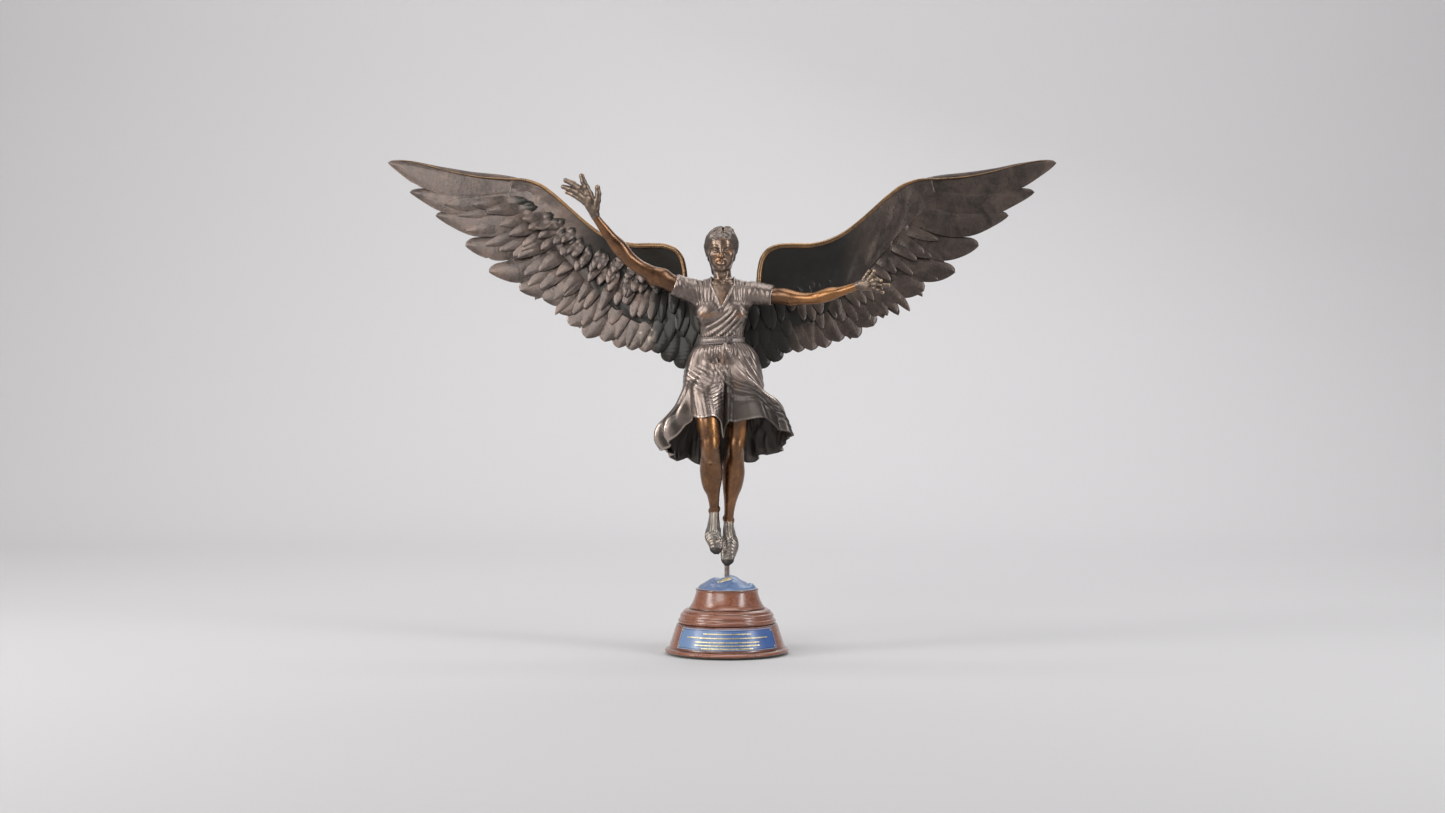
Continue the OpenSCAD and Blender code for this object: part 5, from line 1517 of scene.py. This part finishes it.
def skirt_surface(columns, rows):
    """Middle surface of the cloth, rows x columns x 3."""
    a = np.linspace(-math.pi, math.pi, columns + 1)[:-1]
    t = np.linspace(0, 1, rows)[:, None]
    hem = hem_height(a)
    z = SKIRT_TOP - (SKIRT_TOP - hem[None, :]) * t
    right, left, front, back = np.moveaxis(curve_at(FREE, t + 0 * z), -1, 0)
    side = np.where(a < 0, right, left)
    deep = np.where(np.abs(a) < math.pi / 2, front, back)
    free = 1 / np.sqrt((np.sin(a) / side) ** 2 + (np.cos(a) / deep) ** 2)
    levels = np.arange(148, 250, 1.5)
    snug = []
    for level in levels:
        circles = [(0, -0.5, np.interp(level, [222, 235, 248], [0.1, 6, 11.6]))]
        for column in (RIGHT_LEG, LEFT_LEG):
            cx, cy, wide, _ = limb_at(column, min(level, 222))
            fade = np.interp(level, [214, 248], [1, 0])
            circles.append(((cx - FIGURE_X) * (0.35 + 0.65 * fade), cy * fade - 1,
                            1.0 + wide * (0.5 + 0.5 * fade)))
        snug.append(stretched_round(circles, a))
    snug = np.array(snug)
    index = np.clip((z - levels[0]) / 1.5, 0, len(levels) - 1.001)
    low = index.astype(int)
    which = np.arange(columns)[None, :]
    tight = snug[low, which] * (1 - index + low) + snug[low + 1, which] * (index - low)
    degrees = np.degrees(a)[None, :]
    cling = ease(degrees, -70, -54) * (1 - ease(degrees, 26, 62)) * ease(t, 0.05, 0.3)
    r = free * (1 - cling) + (tight + 0.6) * cling
    r = np.maximum(r, tight + 0.4)
    wander = noise(np.sin(a) * 20, np.cos(a) * 20, z * 0.2, 9.0)
    valley = bell(degrees, 9 - 5 * ease(t, 0, 1), 9) * ease(t, 0.35, 0.7)
    r = r - 6.0 * valley
    r = r - 2.6 * bell(degrees, -65 - 4 * t, 5.5) * ease(t, 0.4, 0.65)
    r = r - 2.0 * bell(degrees, 58 + 6 * t, 7) * ease(t, 0.52, 0.75)
    # gathers under the belt
    gather = np.abs(np.sin(a * 21 + 1.6 * noise(np.sin(a) * 9, np.cos(a) * 9, z * 0.1, 5.0))) ** 0.8
    r = r + (0.95 * gather - 0.4) * bell(t, 0.06, 0.14) * ease(t, 0.0, 0.03) * (0.75 + 0.35 * wander)
    long_folds = np.cos(a * 15 + 1.4 * wander + 0.8 * np.sin(3 * t))
    r = r + 0.45 * long_folds * ease(t, 0.1, 0.3) * (1 - ease(t, 0.5, 0.75))
    # hanging folds at the sides and behind, deeper towards the hem
    loose = 1 - cling
    folds = np.cos(a * 12 + 2.2 * wander + 1.5 * t) + 0.45 * np.cos(a * 23 + 3 * wander - t)
    folds = np.sign(folds) * np.abs(folds) ** 0.8
    r = r + 2.5 * folds * ease(t, 0.42, 1.0) ** 1.3 * loose
    r = r + 0.85 * np.cos(a * 33 + 1.2 * wander - 2.4 * t) * ease(t, 0.34, 0.7) * loose * (a < 0.6)
    r = r + 0.4 * np.cos(a * 46 + 1.5 * wander) * ease(t, 0.5, 1) * loose
    x = r * np.sin(a)
    # thigh: bunches at its inner side, pulls across the hip
    bunch = np.cos((z - 0.55 * (x + 8)) * 2 * math.pi / 3.1 + 0.7 * wander)
    r = r + 0.55 * bunch * bell(x + FIGURE_X, -9, 6.0) * bell(z, 204, 7.5) * (np.abs(degrees) < 60)
    pull = np.cos((z + 0.65 * (x + 22)) * 2 * math.pi / 4.4 + 0.8 * wander)
    r = r + 0.55 * pull * bell(x + FIGURE_X, -25, 9) * bell(z, 221, 8) * (np.abs(degrees) < 110)
    streak = np.cos((x + 0.2 * (z - 200)) * 2 * math.pi / 3.4 + wander)
    r = r + 0.22 * streak * bell(x + FIGURE_X, -17, 9) * bell(z, 196, 10) * (np.abs(degrees) < 75)
    drag = np.cos((x * 0.8 + (z - 240) * 0.75) * 2 * math.pi / 4.6 + 1.2 * wander)
    r = r + 0.4 * drag * bell(degrees, -22, 20) * bell(z, 234, 9)
    # the over-panel, with its rolled edge
    edge = wrap_edge(z)
    past = (a - edge) * r
    over = ease(past, -1.1, 1.5) * (1 - ease(np.degrees(a - edge), 60, 110)) * (a > -0.3)
    r = r + 1.9 * over + 0.8 * bell(past, 1.9, 1.2) * (a > -0.3) * ease(t, 0.02, 0.08)
    sway = (np.cos(past * 2 * math.pi / 6.5 + 0.9 * wander + 1.2) * ease(past, 1.5, 4)
            * (1 - ease(past, 16, 30)))
    r = r + 0.7 * sway * ease(t, 0.08, 0.25) * (a > -0.3)
    under = np.cos(past * 2 * math.pi / 5.2 - 0.5 * wander) * ease(-past, 1, 4) * (1 - ease(-past, 12, 20))
    r = r + 0.55 * under * ease(t, 0.15, 0.4) * (a > -0.3)
    # soft roll of the hem
    r = r + 0.45 * bell((1 - t) * (SKIRT_TOP - hem), 0.6, 0.8)
    r = np.maximum(r, tight * (1 - 0.3 * valley) + 0.2 - 6.0 * valley)
    drift = (3.0 * bell(degrees, -95, 30) * ease(t, 0.5, 0.95)
             - 2.0 * bell(degrees, 95, 30) * ease(t, 0.5, 0.95))
    return np.stack([FIGURE_X + r * np.sin(a), -r * np.cos(a) - drift, z + 0 * a], -1)


def surface_normals(grid):
    """Normals of a grid whose columns close round."""
    down = np.gradient(grid, axis=0)
    along = np.roll(grid, -1, 1) - np.roll(grid, 1, 1)
    n = np.cross(down, along)
    return n / np.maximum(np.linalg.norm(n, axis=-1), 1e-9)[..., None]


def shell(outer, inner):
    """Points and faces of a closed sheet between two grids that share their columns."""
    columns = outer.shape[1]
    rings = np.concatenate([outer, inner[::-1]])
    points = rings.reshape(-1, 3)
    faces = grid_faces(len(rings), columns, True)
    last = grid_faces(2, columns, True)
    last = np.where(last >= columns, last - columns, last + (len(rings) - 1) * columns)
    return points, outward(points, np.concatenate([faces, last]))


def skirt():
    fine = skirt_surface(SKIRT_COLUMNS, OUTER_ROWS)
    coarse = skirt_surface(SKIRT_COLUMNS, INNER_ROWS)
    outer = fine + CLOTH_HALF * surface_normals(fine)
    inner = coarse - CLOTH_HALF * surface_normals(coarse)
    points, faces = shell(outer, inner)
    marks = wear_marks(points, faces, 5, 1.2)
    lining = np.zeros(len(points))
    lining[len(points) - INNER_ROWS * SKIRT_COLUMNS:] = 1
    local = points - [FIGURE_X, 0, 0]
    height, angle = local[:, 2], np.arctan2(local[:, 0], -local[:, 1])
    marks["rub"] = 0.5 * bell(height, 214, 9) * bell(local[:, 0], 12, 7) * (local[:, 1] < 0)
    marks["rub"] += 0.4 * bell(height, 234, 7) * bell(local[:, 0], -1, 9) * (local[:, 1] < 0)
    marks["rub"] *= 1 - lining
    # Painted shadow on the under-panel, beneath the over-panel's edge.
    tucked_shade = (ease(wrap_edge(height) - angle, 0, 0.12) * ease(angle, -0.08, 0.16)
              * (1 - ease(height, 214, 236)))
    # Painted shade on the flared sides below the hips, the fold crests left light.
    flared_shade = (ease(np.abs(angle), 0.92, 1.15) * (1 - ease(np.abs(angle), 1.9, 2.5))
              * (1 - ease(height, 194, 222)))
    marks["grime"] = np.maximum(marks["grime"], 0.62 * tucked_shade)
    marks["grime"] = np.maximum(marks["grime"], 0.62 * flared_shade * (1 - marks["wear"]))
    # Painted shade on the inside of the skirt.
    marks["grime"] = np.maximum(marks["grime"], 0.75 * lining)
    place(add_mesh("skirt_cloth", points, faces, marks), DRESS, ("skirt",))


def ring_sweep(centre_z, wide, deep, radius, twist, phase, rows=720, around=14, bumps=0.0, flat=1.0):
    """A cord laid round the waist, or a band where flat is small."""
    a = np.linspace(0, 2 * math.pi, rows + 1)[:-1][:, None]
    b = np.linspace(0, 2 * math.pi, around + 1)[:-1][None, :]
    thick = radius * (1 + bumps * np.cos(twist * a + 2 * b + phase))
    out = flat * thick * np.cos(b)
    x = FIGURE_X + (wide + out) * np.sin(a)
    y = WAIST[1] - (deep + out) * np.cos(a)
    z = centre_z + thick * np.sin(b) + 0.25 * np.sin(3 * a + phase)
    points = np.stack([x, y, z], -1).reshape(-1, 3)
    faces = grid_faces(rows, around, True)
    last = grid_faces(2, around, True)
    last = np.where(last >= around, last - around, last + (rows - 1) * around)
    return points, outward(points, np.concatenate([faces, last]))


def waist():
    """The sash: a finely ribbed band between two thin corded edges, and a small knot left of the middle."""
    low, high = corners("waist_belt")
    parts, faces, count = [], [], 0
    half = (high[2] - low[2]) / 2
    levels = [(high[2] - 0.8, 17.9, 12.7, 0.75, 70, 0.1, 1.0), (low[2] + 0.9, 18.1, 12.9, 0.85, 70, 0.1, 1.0),
              (WAIST[2], 17.2, 12.0, half - 0.5, 84, 0.05, 0.42)]
    for k, (level, wide, deep, radius, twist, bumps, flat) in enumerate(levels):
        p, f = ring_sweep(level, wide, deep, radius, twist, k, bumps=bumps, flat=flat)
        parts.append(p)
        faces.append(f + count)
        count += len(p)
    points, quads = np.concatenate(parts), np.concatenate(faces)
    place(add_mesh("waist_sash", points, quads, wear_marks(points, quads, 4)), SASH, ("waist_belt",))
    clay = Clay((-5, -19, 234), (9, -9, 256), 0.28)
    clay.egg((1.6, -13.9, 249.9), (2.4, 1.5, 3.0), 0.6, (0, 12, 0))
    clay.tube([[0.2, -14.0, 252.4, 1.2], [1.8, -15.0, 250.0, 1.3], [3.4, -14.0, 247.4, 1.2]], 0.4)
    clay.tube([[3.0, -14.0, 252.0, 1.1], [1.2, -14.8, 249.6, 1.2], [0.4, -14.2, 247.4, 1.1]], 0.4)
    clay.raise_by(lambda x, y, z: 0.1 * rough_noise(x, y, z, 1.8))
    cast("sash_knot", clay, SASH, (), rounds=1, reach=4)


skirt()
waist()


# ---------------------------------------------------------------- stage, light and camera
# The backdrop in metres: where the floor starts and ends, radius of its bend, top of the wall, half its width
FLOOR_FRONT = -4.0
FLOOR_END = 1.2
BEND = 0.9
WALL_TOP = 4.5
HALF_WIDTH = 5.0
# Between these two depths its paper goes from the floor's grey to the wall's
PAPER_NEAR = -1.4
PAPER_FAR = 2.1


def backdrop():
    """A pale floor that curves up into a wall, its paper a little deeper in front, where light pools."""
    turns = np.linspace(0.1, math.pi / 2, 14)
    profile = [(FLOOR_FRONT, 0.0), (FLOOR_END, 0.0)]
    profile += [(FLOOR_END + BEND * math.sin(a), BEND - BEND * math.cos(a)) for a in turns]
    profile += [(FLOOR_END + BEND, WALL_TOP)]
    points = [(x / MM, y / MM, z / MM) for y, z in profile for x in (-HALF_WIDTH, HALF_WIDTH)]
    faces = [(2 * i, 2 * i + 1, 2 * i + 3, 2 * i + 2) for i in range(len(profile) - 1)]
    obj = add_mesh("backdrop", points, faces)
    p = Paint("backdrop_paper")
    tint = p.noise(600, 2)
    split = p.tree.nodes.new("ShaderNodeSeparateXYZ")
    p.link(p.place, split.inputs[0])
    far = p.span(split.outputs["Y"], PAPER_NEAR, PAPER_FAR)
    floor_grey = p.mix(tint, (0.41, 0.404, 0.408), (0.43, 0.423, 0.428))
    wall_grey = p.mix(tint, (0.63, 0.62, 0.627), (0.65, 0.64, 0.647))
    obj.data.materials.append(p.finish(p.mix(far, floor_grey, wall_grey), 0.9))


# Name, place, aim, width and height, all in metres, then power in watts and colour
LAMPS = [
    ("left_strip", (-1.35, -0.55, 0.75), (0, 0, 0.25), (0.45, 1.3), 16, (1.0, 0.98, 0.96)),
    ("right_strip", (1.25, -0.8, 0.75), (0, 0, 0.22), (0.35, 1.3), 13, (0.97, 0.98, 1.0)),
    ("front_left", (-1.1, -2.1, 1.0), (-0.05, 0, 0.28), (1.3, 1.3), 26, (1.0, 0.98, 0.95)),
    ("top", (0.1, -0.3, 1.9), (0, 0.05, 0.2), (1.2, 1.0), 12, (1, 1, 1)),
    ("wall", (0, 0.9, 2.6), (0, 2.1, 0.6), (4.0, 0.8), 27, (1, 1, 1)),
    ("rear", (0.5, 1.5, 1.45), (0, 0, 0.26), (1.3, 0.8), 6, (1, 1, 1)),
]
# Camera in metres, level, at the height of the object's middle
CAMERA_AT = (-0.0036, -1.6056, 0.1973)
LENS_MM = 50
SENSOR_MM = 36


def lamp(name, place_at, aim, size, power, colour):
    data = bpy.data.lights.new(name, "AREA")
    data.shape = "RECTANGLE"
    data.size, data.size_y = size
    data.energy = power
    data.color = colour
    obj = bpy.data.objects.new(name, data)
    bpy.context.scene.collection.objects.link(obj)
    obj.location = place_at
    obj.rotation_euler = look(place_at, aim)


def look(from_at, aim):
    return (Vector(aim) - Vector(from_at)).to_track_quat("-Z", "Y").to_euler()


backdrop()
world = bpy.data.worlds.new("studio")
world.use_nodes = True
world.node_tree.nodes["Background"].inputs["Color"].default_value = (0.6, 0.61, 0.63, 1)
world.node_tree.nodes["Background"].inputs["Strength"].default_value = 0.3
bpy.context.scene.world = world
for settings in LAMPS:
    lamp(*settings)

camera_data = bpy.data.cameras.new("camera")
camera_data.lens = LENS_MM
camera_data.sensor_width = SENSOR_MM
camera = bpy.data.objects.new("camera", camera_data)
bpy.context.scene.collection.objects.link(camera)
camera.location = CAMERA_AT
camera.rotation_euler = (math.pi / 2, 0, 0)
bpy.context.scene.camera = camera
bpy.context.scene.view_settings.view_transform = "Standard"

paint_cad = {"felt_pad": FELT, "ballast_disc": IRON, "plate_rules": GILT, "plate_pins": GILT,
             "base_plinth": WOOD, "base_ring": WOOD, "base_neck": WOOD, "base_cap": MOUND,
             "name_plate": PLATE}
for cad_name, cad_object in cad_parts.items():
    cad_object.data.materials.clear()
    cad_object.data.materials.append(paint_cad.get(cad_name, STEEL if "dowel" in cad_name else DRESS))
